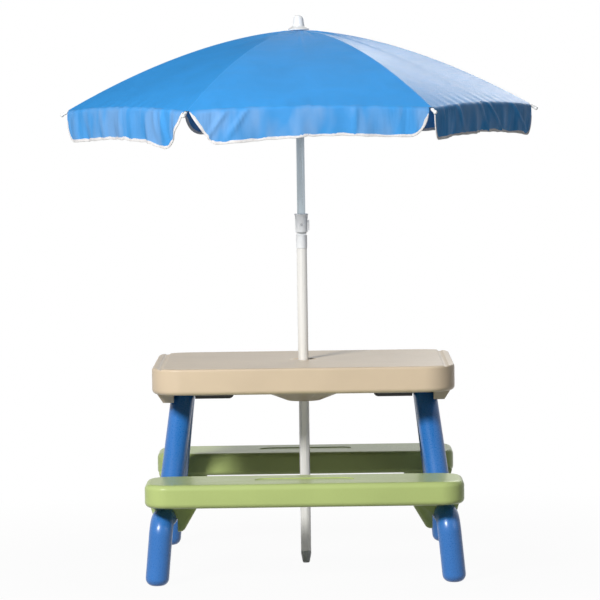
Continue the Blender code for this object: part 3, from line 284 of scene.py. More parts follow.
class Nodes:
    """Adds and joins the nodes of one material, or of the world."""

    def __init__(self, name, store=None):
        self.owner = (bpy.data.materials if store is None else store).new(name)
        self.owner.use_nodes = True
        self.tree = self.owner.node_tree
        self.shader = self.tree.nodes.get("Principled BSDF") or self.tree.nodes["Background"]

    def add(self, kind, inputs=(), **options):
        node = self.tree.nodes.new(kind)
        for key, value in options.items():
            setattr(node, key, value)
        for key, value in dict(inputs).items():
            self.put(node.inputs[key], value)
        return node

    def put(self, socket, value):
        if isinstance(value, bpy.types.NodeSocket):
            self.tree.links.new(value, socket)
        else:
            socket.default_value = value

    def math(self, operation, first, second=0.0):
        return self.add("ShaderNodeMath", {0: first, 1: second}, operation=operation).outputs[0]

    def plus(self, first, second):
        return self.math("ADD", first, second)

    def times(self, first, second):
        return self.math("MULTIPLY", first, second)

    def wave(self, value, spacing):
        return self.math("SINE", self.times(value, 2 * math.pi / spacing))

    def stitches(self, across, along, place, half, spacing, gap):
        """One on each stitch of a row at one place across, else zero. A lower gap makes stitches longer."""
        row = self.math("LESS_THAN", self.math("ABSOLUTE", self.math("SUBTRACT", across, place)), half)
        return self.times(row, self.math("GREATER_THAN", self.wave(along, spacing), gap))

    def mapped(self, vector, stretch, turn=(0, 0, 0)):
        mapping = self.add("ShaderNodeMapping", {"Vector": vector, "Scale": stretch, "Rotation": turn})
        return mapping.outputs["Vector"]

    def place(self, stretch=(1, 1, 1), turn=(0, 0, 0)):
        return self.mapped(self.add("ShaderNodeTexCoord").outputs["Object"], stretch, turn)

    def cloth_place(self):
        """The cloth's own map in metres, whole and as its two directions."""
        vector = self.add("ShaderNodeUVMap", uv_map="cloth").outputs["UV"]
        parts = self.add("ShaderNodeSeparateXYZ", {"Vector": vector})
        return vector, parts.outputs["X"], parts.outputs["Y"]

    def noise(self, scale, detail, roughness, place=None, distortion=0.0):
        node = self.add(
            "ShaderNodeTexNoise",
            {"Scale": scale, "Detail": detail, "Roughness": roughness, "Distortion": distortion},
        )
        self.put(node.inputs["Vector"], place or self.place())
        return node.outputs["Fac"]

    def ramp(self, value, low, high, from_low, from_high):
        """From low to high, as the value goes from from_low to from_high."""
        node = self.add(
            "ShaderNodeMapRange",
            {"Value": value, "From Min": from_low, "From Max": from_high, "To Min": low, "To Max": high},
        )
        return node.outputs["Result"]

    def mixed(self, factor, first, second):
        node = self.add("ShaderNodeMix", {"Factor": factor, 6: first, 7: second}, data_type="RGBA")
        return node.outputs[2]

    def tint(self, base, value, darker, lighter):
        """A colour that wanders between a darker and a lighter tone of the base."""
        return self.mixed(self.ramp(value, 0, 1, 0.3, 0.7), toned(base, darker), toned(base, lighter))

    def bump(self, height, distance, strength, under=None):
        node = self.add("ShaderNodeBump", {"Height": height, "Distance": distance, "Strength": strength})
        if under is not None:
            self.put(node.inputs["Normal"], under)
        return node.outputs["Normal"]

    def finish(self, **inputs):
        for key, value in inputs.items():
            self.put(self.shader.inputs[key.replace("_", " ")], value)
        return self.owner

    def white_to_sight(self, kind, output, share=None):
        """Plain white, wholly or by a share, for the camera, in reflections and through clear things."""
        path = self.add("ShaderNodeLightPath")
        seen = path.outputs["Is Camera Ray"]
        for ray in ("Is Glossy Ray", "Is Transmission Ray"):
            seen = self.math("MAXIMUM", seen, path.outputs[ray])
        if share is not None:
            seen = self.times(share, seen)
        white = self.add(kind, {"Color": (1, 1, 1, 1), "Strength": 1.0})
        mix = self.add("ShaderNodeMixShader", {0: seen, 1: self.shader.outputs[0], 2: white.outputs[0]})
        self.put(self.tree.nodes[output].inputs["Surface"], mix.outputs[0])


# Finishes
def moulded_plastic(name, base, roughness, pebble, wear, shine):
    """Blow-moulded polyethylene: waxy, faintly mottled, pebbled, paler at scuffs, and paler along edges as
    wear and as a painted highlight.
    """
    n = Nodes(name)
    fine = n.noise(420, 2, 0.6)
    speck = n.noise(1500, 1, 0.5)
    scuffs = n.noise(60, 4, 0.7, n.place((1, 9, 3), (0.1, 0.2, 0.6)), 0.6)
    rubbed = n.ramp(scuffs, 0, wear, 0.62, 0.82)
    # Pointiness paints the edges paler: partly edge wear, partly a painted highlight along rounded edges.
    edges = n.ramp(n.add("ShaderNodeNewGeometry").outputs["Pointiness"], 0, 0.44, 0.51, 0.59)
    pale = toned(base, 0.75, 0.25)
    body = n.tint(base, n.noise(7, 2, 0.5), 0.955, 1.045)
    body = n.mixed(n.ramp(speck, 0, 0.06, 0.45, 0.75), body, toned(base, 0.8))
    body = n.mixed(rubbed, body, pale)
    body = n.mixed(edges, body, pale)
    gloss = n.plus(n.ramp(fine, roughness - 0.05, roughness + 0.06, 0.3, 0.7), n.times(rubbed, 0.4))
    waves = n.bump(n.noise(16, 2, 0.5), 0.0022, 0.55)
    grain = n.bump(speck, pebble / 3, 0.4, n.bump(fine, pebble, 0.55, waves))
    return n.finish(
        Base_Color=body, Roughness=gloss, Normal=grain, Specular_IOR_Level=shine,
        Coat_Weight=0.03, Coat_Roughness=0.25,
    )


def hard_plastic(name, base, roughness=0.32, grain_size=900, grain_depth=0.00004):
    """Injection-moulded fittings: smooth, with a fine spark grain and faint flow marks."""
    n = Nodes(name)
    flow = n.noise(26, 3, 0.6, n.place((1, 1, 0.35)), 0.8)
    grain = n.noise(grain_size, 2, 0.5)
    dust = n.ramp(n.noise(55, 4, 0.7), 0, 0.10, 0.55, 0.8)
    body = n.mixed(dust, n.tint(base, flow, 0.95, 1.04), toned(base, 0.72))
    gloss = n.ramp(grain, roughness - 0.06, roughness + 0.09, 0.3, 0.7)
    normal = n.bump(grain, grain_depth, 0.6, n.bump(flow, 0.0004, 0.4))
    return n.finish(Base_Color=body, Roughness=gloss, Normal=normal, Specular_IOR_Level=0.5)


def coated_tube(name, base, metallic, roughness):
    """Steel tube under a coat of little thickness, with drawing lines along it and a faint orange peel."""
    n = Nodes(name)
    along = n.noise(260, 3, 0.6, n.place((1, 1, 0.02)))
    marks = n.noise(34, 4, 0.75, n.place((2.2, 2.2, 0.6)), 1.2)
    body = n.tint(base, along, 0.93, 1.06)
    body = n.mixed(n.ramp(marks, 0, 0.16, 0.6, 0.8), body, toned(base, 0.7))
    drawn = n.ramp(along, roughness - 0.05, roughness + 0.08, 0.3, 0.7)
    gloss = n.plus(drawn, n.ramp(marks, 0, 0.10, 0.6, 0.8))
    normal = n.bump(n.noise(700, 2, 0.5), 0.00003, 0.5, n.bump(along, 0.00005, 0.5))
    return n.finish(
        Base_Color=body, Metallic=metallic, Roughness=gloss, Normal=normal,
        Coat_Weight=0.25, Coat_Roughness=0.18,
    )


def plated_steel(name, base):
    """Bright zinc on wire and fasteners, brushed along its length and dulled in patches."""
    n = Nodes(name)
    brush = n.noise(900, 2, 0.6, n.place((1, 1, 0.15)))
    dull = n.noise(45, 4, 0.7)
    gloss = n.plus(n.ramp(dull, 0.20, 0.46, 0.3, 0.7), n.ramp(brush, -0.03, 0.05, 0.3, 0.7))
    normal = n.bump(brush, 0.00002, 0.5, n.bump(dull, 0.0001, 0.3))
    return n.finish(Base_Color=n.tint(base, dull, 0.72, 1.08), Metallic=0.95, Roughness=gloss, Normal=normal)


THREAD = 0.0011
SEAM_HALF = 0.0046
VALANCE_FROM = 0.62
CLOTH_STITCH = {"place": 0.0034, "half": 0.00042, "spacing": 0.0032, "gap": -0.35}
TAPE_STITCH = {"place": 0.0046, "half": 0.00035, "spacing": 0.0030, "gap": -0.3}
TAPE_RIB = 0.0009


def woven_cloth(name, base):
    """Tight nylon weave with taped seams, stitch rows, soft creases and a dry sheen. Its map is in metres."""
    n = Nodes(name)
    vector, across, down = n.cloth_place()
    from_seam = n.math("ABSOLUTE", across)
    hanging = n.ramp(down, 0, 1, VALANCE_FROM - 0.01, VALANCE_FROM + 0.01)
    weave = n.times(n.wave(across, THREAD), n.wave(down, THREAD))
    slub = n.noise(120, 3, 0.6, n.mapped(vector, (0.12, 2.2, 1)))
    slub_up = n.noise(120, 3, 0.6, n.mapped(vector, (2.2, 0.12, 1)))
    soft = n.noise(9, 4, 0.6, n.place((1, 1, 1.6)), 0.5)
    # Painted highlight: soft pale bands over the valance stand in for light on its folds.
    highlight_streaks = n.noise(17, 2, 0.5, n.place((1, 1, 0.35), (0, 0.35, 0)), 0.4)
    painted_valance_highlight = n.times(hanging, n.ramp(highlight_streaks, 0.14, 0.62, 0.42, 0.62))
    stitches = n.stitches(from_seam, down, **CLOTH_STITCH)
    body = n.tint(base, soft, 0.94, 1.07)
    body = n.mixed(n.ramp(weave, 0, 0.10, -1, 1), body, toned(base, 0.8))
    body = n.mixed(n.ramp(slub, 0, 0.12, 0.45, 0.75), body, toned(base, 1.25, 0.015))
    # Painted shade: the whole valance is darkened towards a deeper blue, as if it hung in shade.
    body = n.mixed(n.times(hanging, 0.27), body, toned(base, 0.62))
    # The valance is lifted towards pale blue there, as a painted highlight.
    body = n.mixed(painted_valance_highlight, body, toned(base, 0.62, 0.20))
    body = n.mixed(stitches, body, toned(base, 1.35, 0.03))
    beside = n.add("ShaderNodeCombineXYZ", {"X": from_seam, "Y": down}).outputs["Vector"]
    pull = n.noise(52, 2, 0.5, n.mapped(beside, (1, 0.14, 1), (0, 0, 0.62)), 0.3)
    pucker = n.times(n.times(pull, n.ramp(from_seam, 1, 0, 0.02, 0.15)), hanging)
    threads = n.plus(n.plus(n.times(weave, 0.10), n.times(slub, 0.5)), n.times(slub_up, 0.35))
    seam = n.plus(n.times(n.math("LESS_THAN", from_seam, SEAM_HALF), 0.6), n.times(stitches, 0.5))
    normal = n.bump(pucker, 0.006, 0.8, n.bump(soft, 0.004, 0.22))
    normal = n.bump(seam, 0.0006, 0.7, n.bump(threads, 0.00022, 0.55, normal))
    return n.finish(
        Base_Color=body, Roughness=n.ramp(slub, 0.38, 0.48, 0.3, 0.7), Normal=normal,
        Specular_IOR_Level=n.ramp(hanging, 0.18, 0.04, 0, 1), Sheen_Weight=n.ramp(hanging, 0.03, 0, 0, 1),
        Sheen_Roughness=0.4, Sheen_Tint=(0.75, 0.86, 1.0, 1.0),
    )


def binding_tape(name, base):
    """Folded cotton tape: ribbed across, with one row of lockstitch. Its map is along and across."""
    n = Nodes(name)
    _, along, across = n.cloth_place()
    stitches = n.stitches(across, along, **TAPE_STITCH)
    wander = n.noise(130, 4, 0.7)
    body = n.mixed(n.times(stitches, 0.6), n.tint(base, wander, 0.86, 1.06), toned(base, 0.72))
    normal = n.bump(n.wave(along, TAPE_RIB), 0.00012, 0.5, n.bump(wander, 0.0006, 0.5))
    return n.finish(
        Base_Color=body, Roughness=n.ramp(wander, 0.62, 0.80, 0.3, 0.7),
        Normal=n.bump(stitches, 0.0003, 0.6, normal), Sheen_Weight=0.2, Sheen_Roughness=0.4,
    )


# Mesh helpers

# In metres: the space between touching pieces, how close two points are to count as one, how far a cutter or
# a joined form runs past a face, and the usual rounding of a moulding's sharp edges.
GAP = 0.0003
WELD = 0.00001
OVERRUN = 0.006
SOFT = 0.0012
NEARLY_STRAIGHT = math.pi / 2 - 0.01
HIDDEN = bpy.data.collections.new("play_table_cutters")
bpy.context.scene.collection.children.link(HIDDEN)


def settings():
    return bpy.context.scene.play_table


def span(side, first, second):
    """Two distances from the middle, on one side of it, as a low and a high place."""
    return sorted((side * first, side * second))


def object_from(name, form):
    mesh = bpy.data.meshes.new(name)
    bmesh.ops.recalc_face_normals(form, faces=form.faces)
    form.to_mesh(mesh)
    form.free()
    return bpy.data.objects.new(name, mesh)


def bevelled(form, edges, size, steps):
    bmesh.ops.bevel(form, geom=edges, offset=size, segments=steps, affect="EDGES", profile=0.5)


def block_form(low, high, top_low=None, top_high=None):
    """A block between two corners, tapered if its upper face spans a second pair."""
    form = bmesh.new()
    bmesh.ops.create_cube(form, size=1)
    for vert in form.verts:
        above = vert.co.z > 0
        start, end = (top_low or low, top_high or high) if above else (low, high)
        x = end[0] if vert.co.x > 0 else start[0]
        y = end[1] if vert.co.y > 0 else start[1]
        vert.co = (x, y, high[2] if above else low[2])
    return form


def block(name, low, high, top_low=None, top_high=None, edge=0.0, steps=3):
    form = block_form(low, high, top_low, top_high)
    if edge:
        bevelled(form, list(form.edges), edge, steps)
    return object_from(name, form)


def rod(name, centre, axis, radius, size, steps=48):
    """A round bar along X, Y or Z."""
    form = bmesh.new()
    bmesh.ops.create_cone(form, cap_ends=True, segments=steps, radius1=radius, radius2=radius, depth=size)
    about, angle = {"X": ("Y", math.pi / 2), "Y": ("X", -math.pi / 2), "Z": ("Z", 0)}[axis]
    bmesh.ops.transform(form, matrix=Matrix.Rotation(angle, 4, about), verts=form.verts)
    bmesh.ops.translate(form, vec=centre, verts=form.verts)
    return object_from(name, form)


def rounded_slab(name, centre, size, corner, top_edge=0.0, under_edge=0.0, corner_steps=16, edge_steps=6):
    """A slab with round corners in plan and its own rounding along each rim."""
    form = bmesh.new()
    bmesh.ops.create_cube(form, size=1)
    for vert in form.verts:
        vert.co = Vector(centre) + Vector(part * whole for part, whole in zip(vert.co, size))
    upright = [e for e in form.edges if abs(e.verts[0].co.z - e.verts[1].co.z) > WELD]
    bevelled(form, upright, corner, corner_steps)
    for edge, height in ((top_edge, centre[2] + size[2] / 2), (under_edge, centre[2] - size[2] / 2)):
        if edge:
            rim = [e for e in form.edges if all(abs(v.co.z - height) < WELD for v in e.verts)]
            bevelled(form, rim, edge, edge_steps)
    return object_from(name, form)


def rounded_path(corners, radii, steps):
    """Points along straight runs whose corners are arcs of the given radii."""
    points = [Vector(corners[0])]
    for before, corner, after, radius in zip(corners, corners[1:], corners[2:], radii):
        corner = Vector(corner)
        back = (Vector(before) - corner).normalized()
        on = (Vector(after) - corner).normalized()
        half = back.angle(on) / 2
        if radius < WELD or half > NEARLY_STRAIGHT:
            points.append(corner)
            continue
        centre = corner + (back + on).normalized() * (radius / math.sin(half))
        start = corner + back * (radius / math.tan(half)) - centre
        end = corner + on * (radius / math.tan(half)) - centre
        for step in range(steps + 1):
            points.append(centre + start.slerp(end, step / steps).normalized() * radius)
    points.append(Vector(corners[-1]))
    return points


def eased(outline, radius, steps):
    """A turned outline with each of its inner corners rounded as far as its neighbours allow."""
    corners = [Vector((x, 0, z)) for x, z in outline]
    radii = []
    for before, corner, after in zip(corners, corners[1:], corners[2:]):
        back, on = before - corner, after - corner
        room = 0.45 * min(back.length, on.length)
        half = back.angle(on) / 2
        radii.append(min(radius, room * math.tan(half)) if half < NEARLY_STRAIGHT else 0)
    return [(point.x, point.z) for point in rounded_path(corners, radii, steps)]


def turned(name, outline, steps=96, hollow=False):
    """A turned mesh from (radius, height) points that run down its outer side."""
    form = bmesh.new()
    angles = [2 * math.pi * step / steps for step in range(steps)]
    rings = []
    for radius, height in outline:
        if radius < WELD:
            rings.append([form.verts.new((0, 0, height))])
            continue
        rings.append([form.verts.new((radius * math.cos(a), radius * math.sin(a), height)) for a in angles])
    for upper, lower in list(zip(rings, rings[1:])) + ([(rings[-1], rings[0])] if hollow else []):
        for step in range(steps):
            after = (step + 1) % steps
            corners = [ring[place % len(ring)] for ring, place in (
                (upper, step), (lower, step), (lower, after), (upper, after))]
            unique = list(dict.fromkeys(corners))
            if len(unique) > 2:
                form.faces.new(unique)
    return object_from(name, form)


def tube(name, points, radii):
    """A closed round tube along points, each with its own radius."""
    form = bmesh.new()
    rings = []
    sides = 56
    way = (points[1] - points[0]).normalized()
    side = way.orthogonal().normalized()
    for index, (point, radius) in enumerate(zip(points, radii)):
        before = points[max(index - 1, 0)]
        after = points[min(index + 1, len(points) - 1)]
        fresh = (after - before).normalized()
        side = (way.rotation_difference(fresh) @ side).normalized()
        side = (side - fresh * side.dot(fresh)).normalized()
        way = fresh
        up = way.cross(side)
        rings.append([
            form.verts.new(point + (side * math.cos(a) + up * math.sin(a)) * radius)
            for a in (2 * math.pi * step / sides for step in range(sides))
        ])
    for first, second in zip(rings, rings[1:]):
        for step in range(sides):
            after = (step + 1) % sides
            form.faces.new((first[step], first[after], second[after], second[step]))
    form.faces.new(list(reversed(rings[0])))
    form.faces.new(rings[-1])
    return object_from(name, form)


def shaped(obj, steps, soften=0.0):
    """Joins and cuts a mesh with others in order, softens its sharp edges, and clears them away."""
    for index, (operation, other) in enumerate(steps):
        HIDDEN.objects.link(other)
        change = obj.modifiers.new(f"{operation.lower()}_{index}", "BOOLEAN")
        change.operation = operation
        change.solver = "EXACT"
        change.object = other
    if soften:
        weld = obj.modifiers.new("weld", "WELD")
        weld.merge_threshold = WELD * 5
        bevel = obj.modifiers.new("soften", "BEVEL")
        bevel.width = soften
        bevel.segments = 3
        bevel.limit_method = "ANGLE"
        bevel.angle_limit = math.radians(40)
    HIDDEN.objects.link(obj)
    bpy.context.view_layer.update()
    graph = bpy.context.evaluated_depsgraph_get()
    mesh = bpy.data.meshes.new_from_object(obj.evaluated_get(graph), depsgraph=graph)
    name = obj.name
    for used in [obj] + [other for _, other in steps]:
        bpy.data.objects.remove(used)
    mesh.name = name
    if not mesh.polygons:
        raise RuntimeError(f"{name} came out empty")
    return bpy.data.objects.new(name, mesh)


def mirrored(source, name, x=1, y=1):
    """A copy of a mesh, mirrored where x or y is -1."""
    mesh = source.data.copy()
    mesh.name = name
    mesh.transform(Matrix.Diagonal((x, y, 1, 1)))
    if x * y < 0:
        mesh.flip_normals()
    return bpy.data.objects.new(name, mesh)


def set_down(obj, body, material, stands_for=(), sharp=35, weighted=True):
    """Puts a finished piece in the scene on its body, with its material and smooth faces."""
    bpy.context.scene.collection.objects.link(obj)
    obj.data.materials.clear()
    obj.data.materials.append(material)
    if sharp:
        obj.data.shade_smooth()
        obj.data.set_sharp_from_angle(angle=math.radians(sharp))
    if weighted:
        even = obj.modifiers.new("even_shading", "WEIGHTED_NORMAL")
        even.keep_sharp = True
    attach(obj, body)
    if stands_for:
        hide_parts(*stands_for)


def repaint(name, material):
    """Gives a carried-over CAD node its finish."""
    node = NODES[name]
    if not node.material_slots:
        raise RuntimeError(f"{name} has no material slot")
    for entry in node.material_slots:
        entry.material = material


# Table top
SKIRT_INSET = 0.012
MOULD_ROUND = 0.004
DIMPLE_ROUND = 0.003
DIMPLE_LIP = 0.0004


def dimple_cutters(top, under):
    """Cones pressed up into the underside, two rows on each side of the middle."""
    roof, below = under + top.dimple_depth, under - OVERRUN
    rise = eased([
        (0, roof), (top.dimple_floor, roof), (top.dimple_mouth, under - DIMPLE_LIP),
        (top.dimple_mouth, below), (0, below),
    ], radius=DIMPLE_ROUND, steps=3)
    cutters = []
    for side in SIDES:
        for row in (0, 1):
            for column in range(top.dimple_columns):
                x = (column - (top.dimple_columns - 1) / 2) * top.dimple_pitch_x
                y = side * (top.dimple_first_y + row * top.dimple_pitch_y)
                cone = turned("dimple", rise, steps=28)
                cone.data.transform(Matrix.Translation((x, y, 0)))
                cutters.append(("DIFFERENCE", cone))
    return cutters


def build_top(top):
    """The slab with its end skirts, pole boss, leg channels, end grooves, pole hole and dimples."""
    under = top.height - top.thickness
    slab = rounded_slab(
        "moulded_top", (0, 0, top.height - top.thickness / 2), (top.width, top.depth, top.thickness),
        top.corner, top.edge, top.under_edge,
    )
    steps = []
    for side in SIDES:
        low = span(side, top.channel_outer - SKIRT_INSET, top.skirt_tip_x)
        high = span(side, top.channel_outer - SKIRT_INSET, top.width / 2 - GAP)
        steps.append(("UNION", block(
            "end_skirt",
            (low[0], -top.skirt_tip_half, under - top.skirt_drop),
            (low[1], top.skirt_tip_half, under + top.under_edge),
            (high[0], -top.skirt_half), (high[1], top.skirt_half),
        )))
    root = top.boss_root + (top.boss_root - top.boss_tip) * OVERRUN / top.boss_drop
    tip_height = under - top.boss_drop
    boss = [(0, under + OVERRUN), (root, under + OVERRUN), (top.boss_tip, tip_height), (0, tip_height)]
    steps.append(("UNION", turned("pole_boss", eased(boss, radius=MOULD_ROUND, steps=5))))
    groove_radius = (top.groove_width ** 2 / 4 + top.groove_depth ** 2) / (2 * top.groove_depth)
    for side in SIDES:
        ends = span(side, top.channel_inner, top.channel_outer)
        steps.append(("DIFFERENCE", block(
            "leg_channel", (ends[0], -top.channel_half, under - top.skirt_drop - 4 * OVERRUN),
            (ends[1], top.channel_half, under + top.channel_height), edge=MOULD_ROUND,
        )))
        centre = (side * top.groove_x, 0, top.height - top.groove_depth + groove_radius)
        cut = rod("end_groove", centre, "Y", groove_radius, top.depth + OVERRUN, steps=64)
        steps.append(("DIFFERENCE", cut))
    above, floor = top.height + OVERRUN, top.height - top.dish_depth
    dish = [
        (0, above), (top.dish + OVERRUN, above), (top.dish, top.height - top.dish_depth / 4),
        (top.dish - MOULD_ROUND, floor), (0, floor),
    ]
    steps.append(("DIFFERENCE", turned("hole_dish", eased(dish, radius=MOULD_ROUND, steps=5))))
    hole_size = top.thickness + top.boss_drop + 2 * OVERRUN
    hole_place = (0, 0, above - hole_size / 2)
    steps.append(("DIFFERENCE", rod("pole_hole", hole_place, "Z", top.hole, hole_size, steps=64)))
    return shaped(slab, steps + dimple_cutters(top, under), SOFT)


class PLAYTABLE_OT_top(bpy.types.Operator):
    """Make the blow-moulded table top"""

    bl_idname = "playtable.top"
    bl_label = "Table top"

    def execute(self, context):
        sizes = settings()
        tan = moulded_plastic(
            "tan_moulded_plastic", sizes.colours.tan,
            roughness=0.36, pebble=0.00011, wear=0.16, shine=0.20,
        )
        set_down(build_top(sizes.top), "table", tan, ("table_top",))
        return {"FINISHED"}


# Hinges and their screws
RECESS_ENDS = (0.184, 0.250)
RECESS_HALF = 0.030
RECESS_ROOF = 0.006
BORE_START = 0.185
SCREWS_X = (0.198, 0.236)
SCREWS_Y = (-0.016, 0.016)
SCREW_HEAD = 0.0045
SCREW_HEAD_HEIGHT = 0.0024


def pan_head(name, radius, height):
    """A pan-head screw seen from below, with a cross recess, its seat at height zero."""
    profile = [(0, 0), (radius, 0), (radius, -height * 0.35), (radius * 0.62, -height), (0, -height)]
    head = turned(name, eased(profile, radius=height * 0.4, steps=4), steps=32)
    reach, half = radius * 0.52, radius * 0.12
    cross = []
    for turn in (0, math.pi / 2):
        bar = block(
            "recess", (-reach, -half, -height * 1.4), (reach, half, -height * 0.45), edge=radius * 0.04
        )
        bar.data.transform(Matrix.Rotation(turn, 4, "Z"))
        cross.append(("DIFFERENCE", bar))
    return shaped(head, cross)


def bracket_top(sizes):
    return sizes.top.height - sizes.top.thickness - GAP


def build_bracket(sizes, name, side):
    """The black hinge block: round at its inner end, bored for two pins, hollowed below for its screws."""
    leg = sizes.leg
    low, high = leg.pivot_height - leg.pin - leg.bracket_wall, bracket_top(sizes)
    ends = span(side, leg.bracket_inner, leg.bracket_outer)
    form = block_form((ends[0], -leg.bracket_half, low), (ends[1], leg.bracket_half, high))
    inner_low = [e for e in form.edges if all(
        abs(v.co.x - side * leg.bracket_inner) < WELD and abs(v.co.z - low) < WELD for v in e.verts)]
    bevelled(form, inner_low, leg.bracket_round, steps=10)
    start, end = span(side, *RECESS_ENDS)
    recess = block("recess", (start, -RECESS_HALF, low - OVERRUN), (end, RECESS_HALF, high - RECESS_ROOF))
    steps = [("DIFFERENCE", recess)]
    reach = leg.pivot_x + leg.radius - BORE_START + OVERRUN
    for row in SIDES:
        centre = (side * (BORE_START + reach / 2), row * leg.pivot_y, leg.pivot_height)
        steps.append(("DIFFERENCE", rod("pin_bore", centre, "X", leg.pin + GAP, reach)))
    return shaped(object_from(name, form), steps, SOFT)


class PLAYTABLE_OT_hinges(bpy.types.Operator):
    """Finish the hinge brackets, pins and screws"""

    bl_idname = "playtable.hinges"
    bl_label = "Hinges"

    def execute(self, context):
        sizes = settings()
        black = hard_plastic(
            "black_grained_plastic", sizes.colours.black,
            roughness=0.42, grain_size=700, grain_depth=0.00008,
        )
        steel = plated_steel("zinc_fasteners", sizes.colours.steel)
        roof = bracket_top(sizes) - RECESS_ROOF
        for hand, side in HANDS:
            bracket = build_bracket(sizes, f"{hand}_bracket_block", side)
            set_down(bracket, "table", black, (f"{hand}_hinge_bracket",))
            for index, (x, y) in enumerate((x, y) for x in SCREWS_X for y in SCREWS_Y):
                head = pan_head(f"{hand}_bracket_screw_{index + 1}", SCREW_HEAD, SCREW_HEAD_HEIGHT)
                head.data.transform(Matrix.Translation((side * x, y, roof + GAP / 3)))
                set_down(head, "table", steel)
            for row, _ in ROWS:
                repaint(f"{row}_{hand}_hinge_pin", steel)
                repaint(f"{row}_{hand}_bench_screw", steel)
        return {"FINISHED"}


# Legs
EYE_ROUND = math.radians(72)
END_STEPS = 10


def leg_route(leg):
    """The middle line of the front right leg from its eye to the floor, with its radius at each point."""
    eye = Vector((leg.pivot_x, -leg.pivot_y, leg.pivot_height))
    knee = Vector((leg.knee_x, -leg.knee_y, leg.run_height))
    shoulder = Vector((leg.shoulder_x, -leg.foot_y, leg.run_height))
    foot = Vector((leg.foot_x, -leg.foot_y, leg.foot_edge))
    points = rounded_path((eye, knee, shoulder, foot), (leg.knee_bend, leg.shoulder_bend), steps=14)
    radii = [leg.radius] * len(points)
    back = (eye - knee).normalized()
    for step in range(1, END_STEPS + 1):
        angle = EYE_ROUND * step / END_STEPS
        points.insert(0, eye + back * (leg.radius * math.sin(angle)))
        radii.insert(0, leg.radius * math.cos(angle))
    for step in range(1, END_STEPS + 1):
        angle = math.pi / 2 * step / END_STEPS
        points.append(Vector((leg.foot_x, -leg.foot_y, leg.foot_edge * (1 - math.sin(angle)))))
        radii.append(leg.radius - leg.foot_edge * (1 - math.cos(angle)))
    return points, radii


def leg_form(leg, name, extra=0.0):
    points, radii = leg_route(leg)
    return tube(name, points, [radius + extra for radius in radii])


def bench_screw_x(sizes):
    """Where the leg's run passes over the bench screw."""
    leg = sizes.leg
    part = (sizes.bench.screw_y - leg.knee_y) / (leg.foot_y - leg.knee_y)
    return leg.knee_x + part * (leg.shoulder_x - leg.knee_x)


class PLAYTABLE_OT_legs(bpy.types.Operator):
    """Make the four bent legs"""

    bl_idname = "playtable.legs"
    bl_label = "Legs"

    def execute(self, context):
        sizes = settings()
        leg = sizes.leg
        blue = moulded_plastic(
            "blue_moulded_plastic", sizes.colours.blue,
            roughness=0.29, pebble=0.00005, wear=0.14, shine=0.50,
        )
        eye = (leg.pivot_x, -leg.pivot_y, leg.pivot_height)
        x, y = bench_screw_x(sizes), -sizes.bench.screw_y
        seat = leg.run_height - leg.radius + leg.screw_head_height + 2 * GAP
        low = leg.run_height - leg.radius - OVERRUN
        bore = rod("bore", eye, "X", leg.pin + GAP, 3 * leg.radius, steps=32)
        through = 2 * leg.radius + OVERRUN
        hole = rod("hole", (x, y, leg.run_height), "Z", leg.screw + GAP, through, steps=24)
        sink = rod("sink", (x, y, (low + seat) / 2), "Z", leg.screw_head + GAP, seat - low, steps=32)
        pattern = shaped(leg_form(leg, "leg_pattern"), [("DIFFERENCE", cut) for cut in (bore, hole, sink)])
        for row, y_side in ROWS:
            for hand, x_side in HANDS:
                name = f"{row}_{hand}_leg"
                copy = mirrored(pattern, name + "_tube", x_side, y_side)
                set_down(copy, f"{row}_bench_unit", blue, (name,))
        bpy.data.objects.remove(pattern)
        return {"FINISHED"}


# Benches
POCKET_ROUND = 0.009
SCREW_HOLE = 0.10


def build_bench(sizes):
    """The front bench: rolled seat, a pocket below round each leg, and a shallow recess on top."""
    bench, leg = sizes.bench, sizes.leg
    under = bench.height - bench.thickness
    seat = rounded_slab(
        "bench_pattern", (0, -bench.centre_y, bench.height - bench.thickness / 2),
        (bench.width, bench.depth, bench.thickness), bench.corner, bench.edge, bench.under_edge,
    )
    steps = []
    for side in SIDES:
        low = span(side, bench.pocket_tip_inner, bench.pocket_tip_outer)
        high = span(side, bench.pocket_inner, bench.pocket_outer)
        steps.append(("UNION", block(
            "pocket", (low[0], -bench.pocket_tip_far, bench.pocket_tip),
            (low[1], -bench.pocket_tip_near, under + bench.under_edge),
            (high[0], -bench.pocket_far), (high[1], -bench.pocket_near), edge=POCKET_ROUND, steps=6,
        )))
    screw_x = bench_screw_x(sizes)
    for side in SIDES:
        ends = span(side, screw_x - leg.radius - bench.pocket_gap, bench.pocket_outer + OVERRUN)
        steps.append(("DIFFERENCE", block(
            "pocket_side", (ends[0], -bench.pocket_far - OVERRUN, bench.pocket_tip - OVERRUN),
            (ends[1], -bench.pocket_near + OVERRUN, leg.run_height),
        )))
    recess = rounded_slab(
        "recess", (0, -bench.centre_y, bench.height - bench.recess_depth + OVERRUN / 2),
        (bench.recess_width, bench.recess_depth_y, OVERRUN), bench.recess_depth_y / 2 - GAP,
        under_edge=SOFT, corner_steps=20, edge_steps=3,
    )
    channel = leg_form(leg, "channel_right", GAP)
    steps += [("DIFFERENCE", cut) for cut in (recess, channel, mirrored(channel, "channel_left", x=-1))]
    for side in SIDES:
        place = (side * screw_x, -bench.screw_y, under)
        hole = rod("hole", place, "Z", leg.screw + GAP, SCREW_HOLE, steps=24)
        steps.append(("DIFFERENCE", hole))
    return shaped(seat, steps, SOFT)


